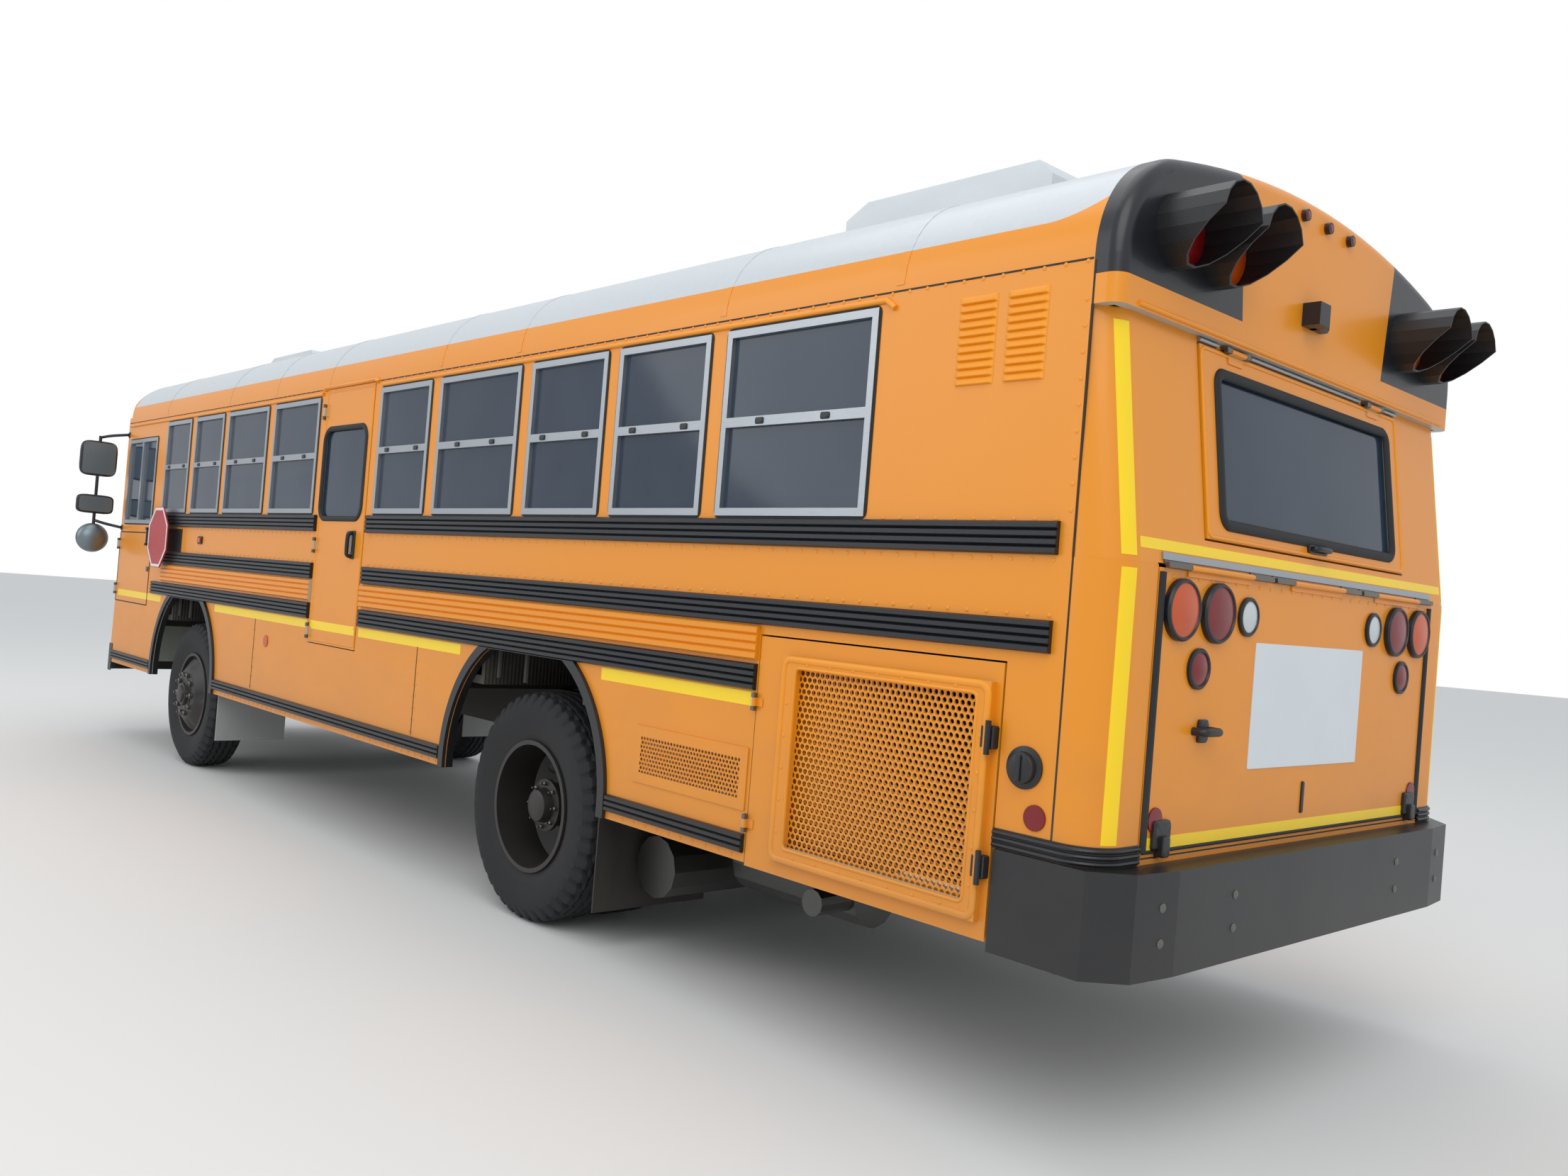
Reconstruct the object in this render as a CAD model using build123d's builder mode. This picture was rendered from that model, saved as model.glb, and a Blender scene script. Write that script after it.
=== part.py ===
from build123d import *
import math
import os

# A flat-front school bus with its engine in the tail. Millimetres, +X forward, +Y to the bus's left,
# +Z up, the ground at Z = 0. Lengthwise places are stations, counted forward from the engine door's face.

# Body section
BODY_WIDTH = 2438.0
WALL = 40.0
SKIRT_Z = 592.0
BELT_Z = 1770.0          # joint of lower side and window band, behind the top rub rail
CANT_Z = 2576.0          # where the side starts to curve into the roof
ROOF_Z = 3025.0
CANT_RADIUS = 350.0
ROOF_JOINT_Z = 2610.0
FLOOR_Z = 1062.0
FLOOR_THICK = 40.0

# Body plan
REAR_CORNER = 120.0
NOSE_CORNER = 120.0
CORNER_EASE = 2.0        # the nose corners bulge this far past the flat faces, so that they cross them cleanly
NOSE_VEE = 4.7           # degrees that each half of the front is turned away from square
REAR_SEAM = 150.0        # side and roof start here
CAP_REAR = 60.0          # face of the rear cap
CAP_Z = 2435.0           # lower edge of the rear cap
CAP_ROUND = 45.0
REAR_SLOPE = 0.126       # run over rise of the rear wall above the engine door
REAR_STEP = 1.5          # ledge where the leaning wall stands back from the upright one
NOSE_SLOPE = 0.04
FRONT_CAP_Z = 2480.0
FRONT_CAP_DEPTH = 380.0  # the cap's run on the roof behind the front seam
BROW_RADIUS = 450.0

# Left side, from the rear: width of each opening and of the pillar ahead of it
REAR_QUARTER = 969.0
REAR_BAYS = [(773, 99), (598, 87), (604, 96), (785, 99), (593, 87)]
DOOR_BAY = (656, 84)
FRONT_BAYS = [(716, 104), (742, 87), (591, 102), (556, 231)]
DRIVER_BAY = (730, 91)
WINDOW_SILL_Z = 1829.0
WINDOW_HEAD_Z = 2521.0
DRIVER_SILL_Z = 1740.0
DRIVER_HEAD_Z = 2421.0

# Wheels and axles
REAR_AXLE = 3000.0
FRONT_SETBACK = 1800.0   # front axle behind the front seam
TYRE_RADIUS = 515.0
TYRE_WIDTH = 279.0
RIM_RADIUS = 286.0
FLANGE = 12.0            # rim wall thickness and the flange's height over it
FRONT_WHEEL_Y = 1016.0
REAR_WHEEL_Y = 1025.0
DUAL_SPACING = 315.0
KINGPIN_Y = 885.0
PIN_GAP = 0.3
GAP = 6.0                # room round doors and lids
ARCH_FOOT = 660.0        # half the wheel arch's opening at the skirt
ARCH_TOP = 320.0
ARCH_Z = 1201.0

# Doors and lids
EMERGENCY_Z = (1069.0, 2561.0)
ENTRANCE_WIDTH = 794.0
ENTRANCE_SETBACK = 53.0
ENTRANCE_Z = (400.0, 2445.0)
ENGINE_DOOR_Z = (880.0, 1718.0)
ENGINE_DOOR_HALF = 1003.0
HATCH_HALF = 735.0
HATCH_FOOT = 100.0       # up the slope from the engine door's hinge
HATCH_HEIGHT = 600.0
RADIATOR_DOOR = (350.0, 1424.0, 583.0, 1400.0)
DRIVER_HATCH = (8631.0, 9470.0, 1107.0, 1665.0)
DOOR_THICK = 34.0

# Derived places
HALF = BODY_WIDTH / 2
INNER = HALF - WALL


def bay_list(start, bays):
    """Start and end stations of the openings, and the station after the last pillar."""
    spans = []
    for width, pillar in bays:
        spans.append((start, start + width))
        start += width + pillar
    return spans, start


REAR_WINDOWS, DOOR_START = bay_list(REAR_QUARTER, REAR_BAYS)
DOOR_SPANS, FRONT_START = bay_list(DOOR_START, [DOOR_BAY])
FRONT_WINDOWS, DRIVER_START = bay_list(FRONT_START, FRONT_BAYS)
DRIVER_SPANS, FRONT_SEAM = bay_list(DRIVER_START, [DRIVER_BAY])
DOOR_SPAN = DOOR_SPANS[0]
DRIVER_SPAN = DRIVER_SPANS[0]
SPARE_WINDOW = (DOOR_SPAN[0] + 10, DOOR_SPAN[1] - 6)
LEFT_WINDOWS = REAR_WINDOWS + FRONT_WINDOWS
RIGHT_WINDOWS = REAR_WINDOWS + [SPARE_WINDOW] + FRONT_WINDOWS
VEE = math.radians(NOSE_VEE)
CORNER_CENTRE_Y = HALF + CORNER_EASE - NOSE_CORNER
NOSE = FRONT_SEAM + (NOSE_CORNER + CORNER_CENTRE_Y * math.sin(VEE) - CORNER_EASE) / math.cos(VEE)
FRONT_AXLE = FRONT_SEAM - FRONT_SETBACK
BUMPER_REACH = 70.0      # front bumper ahead of the nose
HOOD_REACH = 150.0       # rear lamp hoods behind the engine door's face
REAR_TO_ORIGIN = (NOSE + BUMPER_REACH - HOOD_REACH) / 2
ENTRANCE_SPAN = (FRONT_SEAM - ENTRANCE_SETBACK - ENTRANCE_WIDTH, FRONT_SEAM - ENTRANCE_SETBACK)
CROWN_RISE = ROOF_Z - CANT_Z
CORNER_Y = HALF - CANT_RADIUS
CROWN_RADIUS = (CORNER_Y ** 2 + CROWN_RISE ** 2 - CANT_RADIUS ** 2) / (2 * (CROWN_RISE - CANT_RADIUS))
CROWN_Z = ROOF_Z - CROWN_RADIUS
HINGE_Z = ENGINE_DOOR_Z[1]
slope_angle = math.atan(REAR_SLOPE)


def x_at(station):
    return station - REAR_TO_ORIGIN


def side_plane(y):
    """A plane facing the bus's right at this Y, whose sketch axes are X and Z."""
    return Plane.XZ.offset(-y)


def cross_plane(station):
    """A plane across the bus, whose sketch axes are Y and Z."""
    return Plane.YZ.offset(x_at(station))


def field(x0, x1, y0, y1, mode=Mode.ADD, radius=0):
    """A rectangle between two pairs of sketch coordinates."""
    with Locations(((x0 + x1) / 2, (y0 + y1) / 2)):
        if radius:
            RectangleRounded(x1 - x0, y1 - y0, radius, mode=mode)
        else:
            Rectangle(x1 - x0, y1 - y0, mode=mode)


def block(s0, s1, y0, y1, z0, z1, mode=Mode.ADD):
    """A box between two stations, two Y values and two heights."""
    slab(x_at(s0), x_at(s1), y0, y1, z0, z1, mode)


def slab(x0, x1, y0, y1, z0, z1, mode=Mode.ADD):
    """A box between pairs of coordinates of the builder's own plane."""
    with Locations(((x0 + x1) / 2, (y0 + y1) / 2, (z0 + z1) / 2)):
        Box(x1 - x0, y1 - y0, z1 - z0, mode=mode)


def prism_bar(p, q, radius, sides):
    """A bar with flat sides between two points, in place of a round one. The radius reaches its corners."""
    a = Vector(*p)
    b = Vector(*q)
    with BuildPart() as bar:
        with BuildSketch(Plane(origin=a, z_dir=(b - a).normalized())):
            RegularPolygon(radius, sides)
        extrude(amount=(b - a).length)
    return bar.part


def rod(p, q, radius, sides=12):
    """A bar with flat sides between two points given as station, Y and Z."""
    add(prism_bar((x_at(p[0]), *p[1:]), (x_at(q[0]), *q[1:]), radius, sides))


def drill(p, q, radius):
    """A round bore between two points given as station, Y and Z."""
    a = Vector(x_at(p[0]), p[1], p[2])
    b = Vector(x_at(q[0]), q[1], q[2])
    with Locations(Plane(origin=(a + b) * 0.5, z_dir=(b - a).normalized())):
        Cylinder(radius, (b - a).length, mode=Mode.SUBTRACT)


def facet_ring(centre, axis, outline, sides):
    """A ring in flat facets, turned about a level axis through a centre. The outline is a closed loop of
    (distance along the axis, radius to a facet's middle); a facet's middle is lowest."""
    step = 2 * math.pi / sides
    stretch = 1 / math.cos(step / 2)
    along = Vector(*axis)
    level = Vector(axis[1], axis[0], 0)
    up = Vector(0, 0, 1)
    rows = []
    for i in range(sides):
        turn = (i + 0.5) * step - math.pi / 2
        spoke = level * (stretch * math.cos(turn)) + up * (stretch * math.sin(turn))
        rows.append([Vector(*centre) + along * a + spoke * r for a, r in outline])
    faces = []
    for i in range(sides):
        here, there = rows[i], rows[(i + 1) % sides]
        for k, (a, r) in enumerate(outline):
            n = (k + 1) % len(outline)
            if r == 0 and outline[n][1] == 0:
                continue
            corners = [here[k], here[n], there[n], there[k]]
            if r == 0:
                corners.pop()
            if outline[n][1] == 0:
                corners.pop(1)
            faces.append(Face(Wire.make_polygon(corners)))
    ring = Solid(Shell(faces))
    return ring if ring.volume > 0 else Solid(Shell([-face for face in faces]))


def section_face(inset, z_low):
    """The body's cross-section: upright sides, round cant rails and a gently crowned roof."""
    half = HALF - inset
    corner = CANT_RADIUS - inset
    crown = CROWN_RADIUS - inset
    lean = math.atan2(CORNER_Y, CANT_Z - CROWN_Z)
    meet = (crown * math.sin(lean), CROWN_Z + crown * math.cos(lean))
    mid = (90 - math.degrees(lean)) / 2
    knee = (CORNER_Y + corner * math.cos(math.radians(mid)), CANT_Z + corner * math.sin(math.radians(mid)))
    with BuildSketch() as face:
        with BuildLine():
            Polyline((-half, CANT_Z), (-half, z_low), (half, z_low), (half, CANT_Z))
            ThreePointArc((half, CANT_Z), knee, meet)
            ThreePointArc(meet, (0, ROOF_Z - inset), (-meet[0], meet[1]))
            ThreePointArc((-meet[0], meet[1]), (-knee[0], knee[1]), (-half, CANT_Z))
        make_face()
    return face.sketch


def plan_face(inset):
    """The body's outline seen from above, with the tail's round corners; the front end runs on into the nose."""
    with BuildSketch() as face:
        field(x_at(inset), x_at(FRONT_SEAM + 2 * REAR_CORNER), inset - HALF, HALF - inset, radius=REAR_CORNER - inset)
    return face.sketch


def upright_prism(face, z0, z1):
    """An outline carried straight up from z0 to z1."""
    with BuildPart() as prism:
        with BuildSketch(Plane.XY.offset(z0)):
            add(face)
        extrude(amount=z1 - z0)
    return prism.part


def leaning_tail(inset, z0, z1):
    """The tail above the engine door: round-cornered in plan, carried up along the rear wall's slope."""
    length = 8 * REAR_CORNER
    with BuildPart() as tail:
        with BuildSketch(Plane(origin=(x_at(0), 0, HINGE_Z), x_dir=(math.cos(slope_angle), 0, -math.sin(slope_angle)),
                               z_dir=(math.sin(slope_angle), 0, math.cos(slope_angle)))):
            field(inset, length, inset - HALF, HALF - inset, radius=REAR_CORNER - inset)
        extrude(amount=2 * length, both=True)
        block(-REAR_SEAM, length / 2, -BODY_WIDTH, BODY_WIDTH, z0, z1, Mode.INTERSECT)
    return tail.part


def arch_face(axle):
    """A wheel arch in side view: steep sides that round into a flat crown."""
    foot_z = SKIRT_Z - 60
    x = x_at(axle)
    shoulder = (ARCH_FOOT * 0.86, SKIRT_Z + (ARCH_Z - SKIRT_Z) * 0.62)
    with BuildSketch() as face:
        with BuildLine():
            Polyline((x + ARCH_FOOT, SKIRT_Z), (x + ARCH_FOOT, foot_z), (x - ARCH_FOOT, foot_z),
                     (x - ARCH_FOOT, SKIRT_Z))
            ThreePointArc((x - ARCH_FOOT, SKIRT_Z), (x - shoulder[0], shoulder[1]), (x - ARCH_TOP, ARCH_Z))
            Line((x - ARCH_TOP, ARCH_Z), (x + ARCH_TOP, ARCH_Z))
            ThreePointArc((x + ARCH_TOP, ARCH_Z), (x + shoulder[0], shoulder[1]), (x + ARCH_FOOT, SKIRT_Z))
        make_face()
    return face.sketch


def save(shape, name):
    shape.label = name
    export_step(shape, f"parts/{name}.step")


os.makedirs("parts", exist_ok=True)

# Lower sides
LOUVRE_GRILLE = (1446.0, 2123.0, 773.0, 997.0)
side_panels = []
for outer_y in (HALF, -HALF + WALL):
    left = outer_y > 0
    with BuildPart() as side:
        with BuildSketch(side_plane(outer_y)):
            field(x_at(REAR_SEAM), x_at(FRONT_SEAM), SKIRT_Z, BELT_Z)
            add(arch_face(REAR_AXLE), mode=Mode.SUBTRACT)
            add(arch_face(FRONT_AXLE), mode=Mode.SUBTRACT)
            if left:
                field(x_at(DOOR_SPAN[0]), x_at(DOOR_SPAN[1]), EMERGENCY_Z[0] - GAP, BELT_Z, Mode.SUBTRACT)
                s0, s1, z0, z1 = RADIATOR_DOOR
                field(x_at(s0 - GAP), x_at(s1 + GAP), SKIRT_Z - GAP, z1 + GAP, Mode.SUBTRACT)
                s0, s1, z0, z1 = DRIVER_HATCH
                field(x_at(s0 - GAP), x_at(s1 + GAP), z0 - GAP, z1 + GAP, Mode.SUBTRACT)
                field(x_at(DRIVER_SPAN[0]), x_at(DRIVER_SPAN[1]), DRIVER_SILL_Z, BELT_Z, Mode.SUBTRACT)
                s0, s1, z0, z1 = LOUVRE_GRILLE
                field(x_at(s0 + 40), x_at(s1 - 40), z0 + 40, z1 - 40, Mode.SUBTRACT)
            else:
                s0, s1 = ENTRANCE_SPAN
                field(x_at(s0), x_at(s1), SKIRT_Z - GAP, BELT_Z, Mode.SUBTRACT)
        extrude(amount=WALL)
    side_panels.append(side.part)

# Window bands, up to the roof joint, with the start of the cant curve on them
for name, windows, sign in (("window_band_left", LEFT_WINDOWS, 1), ("window_band_right", RIGHT_WINDOWS, -1)):
    with BuildPart() as band:
        with BuildSketch(cross_plane(REAR_SEAM)):
            add(section_face(0, BELT_Z))
            add(section_face(WALL, BELT_Z - 1), mode=Mode.SUBTRACT)
            field(sign * HALF - HALF / 4, sign * HALF + HALF / 4, BELT_Z, ROOF_JOINT_Z, Mode.INTERSECT)
        extrude(amount=FRONT_SEAM - REAR_SEAM)
        with BuildSketch(side_plane(sign * HALF + 10)):
            for s0, s1 in windows:
                field(x_at(s0), x_at(s1), WINDOW_SILL_Z, WINDOW_HEAD_Z)
            if sign > 0:
                field(x_at(DRIVER_SPAN[0]), x_at(DRIVER_SPAN[1]), DRIVER_SILL_Z, DRIVER_HEAD_Z)
                field(x_at(DOOR_SPAN[0]), x_at(DOOR_SPAN[1]), BELT_Z - 1, EMERGENCY_Z[1] + GAP)
            else:
                field(x_at(ENTRANCE_SPAN[0]), x_at(ENTRANCE_SPAN[1]), BELT_Z - 1, ENTRANCE_Z[1] + GAP)
        extrude(amount=2 * WALL, both=True, mode=Mode.SUBTRACT)
    save(band.part, name)

# Roof between the caps
ROOF_END = FRONT_SEAM - FRONT_CAP_DEPTH
with BuildPart() as roof:
    with BuildSketch(cross_plane(REAR_SEAM)):
        add(section_face(0, BELT_Z))
        add(section_face(WALL, BELT_Z - 1), mode=Mode.SUBTRACT)
        field(-HALF, HALF, ROOF_JOINT_Z, ROOF_Z, Mode.INTERSECT)
    extrude(amount=ROOF_END - REAR_SEAM)
save(roof.part, "roof")

# Rear cap: the roof's end, closed by an upright face with a rounded rim
with BuildPart() as rear_cap:
    with BuildSketch(cross_plane(CAP_REAR)):
        add(section_face(0, CAP_Z))
    extrude(amount=REAR_SEAM - CAP_REAR)
    rim = rear_cap.faces().sort_by(Axis.X)[0].edges().sort_by(Axis.Z)[1:]
    fillet(rim, CAP_ROUND)
    with BuildSketch(cross_plane(CAP_REAR + WALL)):
        add(section_face(WALL, CAP_Z - 1))
    extrude(amount=REAR_SEAM, mode=Mode.SUBTRACT)
save(rear_cap.part, "rear_cap")

# Rear wall: upright below the engine door's hinge, leaning forward above it
rear_slope_plane = Plane(origin=(x_at(REAR_STEP / math.cos(slope_angle)), 0, HINGE_Z), x_dir=(0, -1, 0),
                         z_dir=(-math.cos(slope_angle), 0, math.sin(slope_angle)))
with BuildPart() as rear_wall:
    add(upright_prism(plan_face(0), SKIRT_Z, HINGE_Z))
    add(upright_prism(plan_face(WALL), SKIRT_Z - WALL, HINGE_Z + WALL), mode=Mode.SUBTRACT)
    add(leaning_tail(REAR_STEP, HINGE_Z, CAP_Z) - leaning_tail(WALL - REAR_STEP, HINGE_Z - WALL, CAP_Z + WALL))
    block(-WALL, REAR_SEAM, -BODY_WIDTH, BODY_WIDTH, 0, ROOF_Z, Mode.INTERSECT)
    block(-WALL, REAR_SEAM, -ENGINE_DOOR_HALF - GAP, ENGINE_DOOR_HALF + GAP, ENGINE_DOOR_Z[0] - GAP, HINGE_Z + GAP,
          Mode.SUBTRACT)
    with BuildSketch(rear_slope_plane.offset(WALL)):
        field(-HATCH_HALF - GAP, HATCH_HALF + GAP, HATCH_FOOT - GAP, HATCH_FOOT + HATCH_HEIGHT + GAP)
    extrude(amount=-3 * WALL, mode=Mode.SUBTRACT)
save(rear_wall.part, "rear_wall")

# Nose
BROW_RISE = 3.0          # the brow's arc tops out this far over the crown, so that it cuts it cleanly
NOSE_FOOT_Z = SKIRT_Z - 3 * WALL
NOSE_BACK = 1200.0       # how far behind the tip the nose's cutting outlines run


def nose_solid(inset):
    """The nose: cross-section, leaning round corners, and a front in a shallow vee with a round brow."""
    corner = NOSE_CORNER - inset
    brow = BROW_RADIUS - inset
    top = ROOF_Z - inset + BROW_RISE
    foot = NOSE_SLOPE * (SKIRT_Z - NOSE_FOOT_Z) - inset
    brow_foot = -NOSE_SLOPE * (top - brow - SKIRT_Z) - inset
    knee = brow * math.sqrt(0.5)
    turns = (math.pi / 2, (math.pi / 2 + VEE) / 2, VEE)
    start, middle, meet = [(corner * math.cos(a), CORNER_CENTRE_Y + corner * math.sin(a)) for a in turns]
    tip = (meet[0] + meet[1] * math.tan(VEE), 0)
    with BuildPart() as nose:
        with BuildSketch(Plane(origin=(x_at(FRONT_SEAM), 0, SKIRT_Z), x_dir=(1, 0, NOSE_SLOPE), z_dir=(-NOSE_SLOPE, 0, 1))):
            with BuildLine():
                ThreePointArc(start, middle, meet)
                Polyline(meet, tip, (meet[0], -meet[1]))
                ThreePointArc((meet[0], -meet[1]), (middle[0], -middle[1]), (start[0], -start[1]))
                Polyline((start[0], -start[1]), (-NOSE_BACK, -start[1]), (-NOSE_BACK, start[1]), start)
            make_face()
        extrude(amount=ROOF_Z, both=True)
        for sign in (-1, 1):
            with BuildSketch(Plane(origin=(x_at(NOSE), 0, 0), x_dir=(math.cos(VEE), sign * math.sin(VEE), 0),
                                   z_dir=(sign * math.sin(VEE), -math.cos(VEE), 0))):
                with BuildLine():
                    Polyline((brow_foot, top - brow), (foot, NOSE_FOOT_Z), (-NOSE_BACK, NOSE_FOOT_Z), (-NOSE_BACK, top + WALL),
                             (brow_foot - brow, top + WALL), (brow_foot - brow, top))
                    ThreePointArc((brow_foot - brow, top), (brow_foot - brow + knee, top - brow + knee),
                                  (brow_foot, top - brow))
                make_face()
            extrude(amount=BODY_WIDTH, both=True, mode=Mode.INTERSECT)
        with BuildSketch(cross_plane(ROOF_END - WALL)):
            add(section_face(inset, NOSE_FOOT_Z))
        extrude(amount=NOSE - ROOF_END + 4 * WALL, mode=Mode.INTERSECT)
    return nose.part


nose_outer = nose_solid(0)
nose_shell = nose_outer - nose_solid(WALL)

# Front cap above the windshield
with BuildPart() as front_cap:
    add(nose_shell)
    with BuildSketch(side_plane(BODY_WIDTH)):
        field(x_at(ROOF_END), x_at(FRONT_SEAM), ROOF_JOINT_Z, ROOF_Z + WALL)
        field(x_at(FRONT_SEAM), x_at(NOSE + WALL), FRONT_CAP_Z, ROOF_Z + WALL)
    extrude(amount=2 * BODY_WIDTH, mode=Mode.INTERSECT)
save(front_cap.part, "front_cap")

# Front panel: lower nose, corner posts and centre post round the two windshield panes
PANE_Y = (30.0, 1085.0)
PANE_Z = (1570.0, 2430.0)
BUMPER_FRONT_Z = (520.0, 741.0)
with BuildPart() as front_panel:
    add(nose_shell)
    block(FRONT_SEAM, NOSE + WALL, -BODY_WIDTH, BODY_WIDTH, SKIRT_Z, FRONT_CAP_Z, Mode.INTERSECT)
    for side_sign in (-1, 1):
        y_pair = sorted((side_sign * PANE_Y[0], side_sign * PANE_Y[1]))
        with BuildSketch(cross_plane(NOSE + WALL)):
            field(y_pair[0], y_pair[1], PANE_Z[0], PANE_Z[1], radius=60)
        extrude(amount=-8 * WALL, mode=Mode.SUBTRACT)
save(front_panel.part, "front_panel")

# Floor with its rear engine cover, wheel houses and the entrance steps
COVER_FRONT = 1480.0
COVER_Z = 1700.0
HOUSE_TOP = 1240.0
HOUSE_HALF = 450.0
HOUSE_PLATE = 30.0
REAR_HOUSE_Y = 560.0
FRONT_HOUSE_Y = 640.0
STEP_Z = [400.0, 620.0, 840.0]
STEP_DEPTH = 190.0
STEP_PLATE = 24.0
STEP_MARGIN = 20.0
with BuildPart() as floor:
    with BuildSketch(side_plane(0)):
        field(x_at(WALL), x_at(FRONT_SEAM), FLOOR_Z - FLOOR_THICK, FLOOR_Z)
        field(x_at(WALL), x_at(COVER_FRONT), FLOOR_Z, COVER_Z)
        field(x_at(WALL), x_at(COVER_FRONT - FLOOR_THICK), FLOOR_Z - FLOOR_THICK, COVER_Z - FLOOR_THICK, Mode.SUBTRACT)
    extrude(amount=HALF, both=True)
    add(upright_prism(plan_face(WALL), FLOOR_Z - HALF, COVER_Z + HALF), mode=Mode.INTERSECT)
    for axle, house_y in ((REAR_AXLE, REAR_HOUSE_Y), (FRONT_AXLE, FRONT_HOUSE_Y)):
        for sign in (-1, 1):
            outer = sorted((sign * house_y, sign * INNER))
            inner = sorted((sign * (house_y + HOUSE_PLATE), sign * INNER))
            block(axle - HOUSE_HALF, axle + HOUSE_HALF, outer[0], outer[1], FLOOR_Z - FLOOR_THICK, HOUSE_TOP)
            block(axle - HOUSE_HALF + HOUSE_PLATE, axle + HOUSE_HALF - HOUSE_PLATE, inner[0], inner[1],
                  FLOOR_Z - 2 * FLOOR_THICK, HOUSE_TOP - HOUSE_PLATE, Mode.SUBTRACT)
    s0, s1 = ENTRANCE_SPAN
    well_y = INNER - STEP_DEPTH * 3
    block(s0 + STEP_MARGIN, s1 - STEP_MARGIN, -INNER, -well_y, FLOOR_Z - FLOOR_THICK, FLOOR_Z, Mode.SUBTRACT)
    for i, z in enumerate(STEP_Z):
        tread_y = -INNER + i * STEP_DEPTH
        riser_top = STEP_Z[i + 1] if i + 1 < len(STEP_Z) else FLOOR_Z
        block(s0, s1, tread_y, tread_y + STEP_DEPTH, z - STEP_PLATE, z)
        block(s0, s1, tread_y + STEP_DEPTH, tread_y + STEP_DEPTH + STEP_PLATE, z - STEP_PLATE, riser_top)
    for cheek in (s0, s1 - STEP_MARGIN):
        with BuildSketch(cross_plane(cheek)):
            with BuildLine():
                low = STEP_Z[0] - STEP_PLATE
                Polyline((-INNER, FLOOR_Z - FLOOR_THICK), (-INNER, low), (-INNER + STEP_DEPTH, low),
                         (-well_y + STEP_PLATE, STEP_Z[2] - STEP_PLATE), (-well_y + STEP_PLATE, FLOOR_Z - FLOOR_THICK),
                         close=True)
            make_face()
        extrude(amount=STEP_MARGIN)
save(floor.part, "floor")

# Chassis frame: two rails, crossmembers and the bearers that carry the floor
RAIL_Y = (392.0, 467.0)
RAIL_Z = (700.0, 960.0)
RAIL_END = 180.0
BEARER_TOP = FLOOR_Z - FLOOR_THICK
BEARER_PITCH = 760.0
FRAME_FRONT = FRONT_SEAM - 60
TOW_Z = 490.0
TOW_RADIUS = 20.0
TOW_PLATE = 30.0
TOW_FOOT_Z = 440.0
with BuildPart() as chassis:
    for sign in (-1, 1):
        rail = sorted((sign * RAIL_Y[0], sign * RAIL_Y[1]))
        block(RAIL_END, FRAME_FRONT, rail[0], rail[1], RAIL_Z[0], RAIL_Z[1])
    cross_count = int((FRAME_FRONT - RAIL_END) / (2 * BEARER_PITCH)) + 1
    for i in range(cross_count):
        station = 1500 + i * (FRAME_FRONT - 1560) / (cross_count - 1)
        block(station, station + 60, -RAIL_Y[0], RAIL_Y[0], RAIL_Z[0] + 60, RAIL_Z[1] - 60)
    block(RAIL_END, RAIL_END + 60, -RAIL_Y[0], RAIL_Y[0], RAIL_Z[0] + 60, RAIL_Z[1] - 60)
    station = COVER_FRONT + 100
    while station < FRAME_FRONT - 100:
        near_rear = abs(station + 30 - REAR_AXLE) < TYRE_RADIUS + 120
        near_front = abs(station + 30 - FRONT_AXLE) < TYRE_RADIUS + 160
        near_steps = station + 80 > ENTRANCE_SPAN[0]
        reach = REAR_HOUSE_Y - 20 if near_rear or near_front or near_steps else INNER - 10
        block(station, station + 60, -reach, reach, RAIL_Z[1], BEARER_TOP)
        station += BEARER_PITCH
    for sign in (-1, 1):
        rail = sorted((sign * RAIL_Y[0], sign * RAIL_Y[1]))
        block(FRAME_FRONT - TOW_PLATE, FRAME_FRONT, rail[0], rail[1], TOW_FOOT_Z, RAIL_Z[0] + TOW_PLATE)
        drill((FRAME_FRONT - 2 * TOW_PLATE, sum(rail) / 2, TOW_Z), (FRAME_FRONT + TOW_PLATE, sum(rail) / 2, TOW_Z),
              TOW_RADIUS)
save(chassis.part, "chassis_frame")


def spring_pack(axle, y, z_seat, z_eye):
    """A leaf spring pack: a bowed band with an eye bracket at each end, up to the rail."""
    span = 620.0
    thick = 50.0
    with BuildPart() as pack:
        with BuildSketch(side_plane(y + 40)):
            with BuildLine():
                ThreePointArc((x_at(axle - span), z_eye), (x_at(axle), z_seat), (x_at(axle + span), z_eye))
                Line((x_at(axle + span), z_eye), (x_at(axle + span), z_eye + thick))
                ThreePointArc((x_at(axle + span), z_eye + thick), (x_at(axle), z_seat + thick + 20),
                              (x_at(axle - span), z_eye + thick))
                Line((x_at(axle - span), z_eye + thick), (x_at(axle - span), z_eye))
            make_face()
            for end in (-1, 1):
                centre = x_at(axle + end * (span - 40))
                field(centre - 50, centre + 50, z_eye + 10, RAIL_Z[0])
        extrude(amount=80)
    return pack.part


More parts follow.
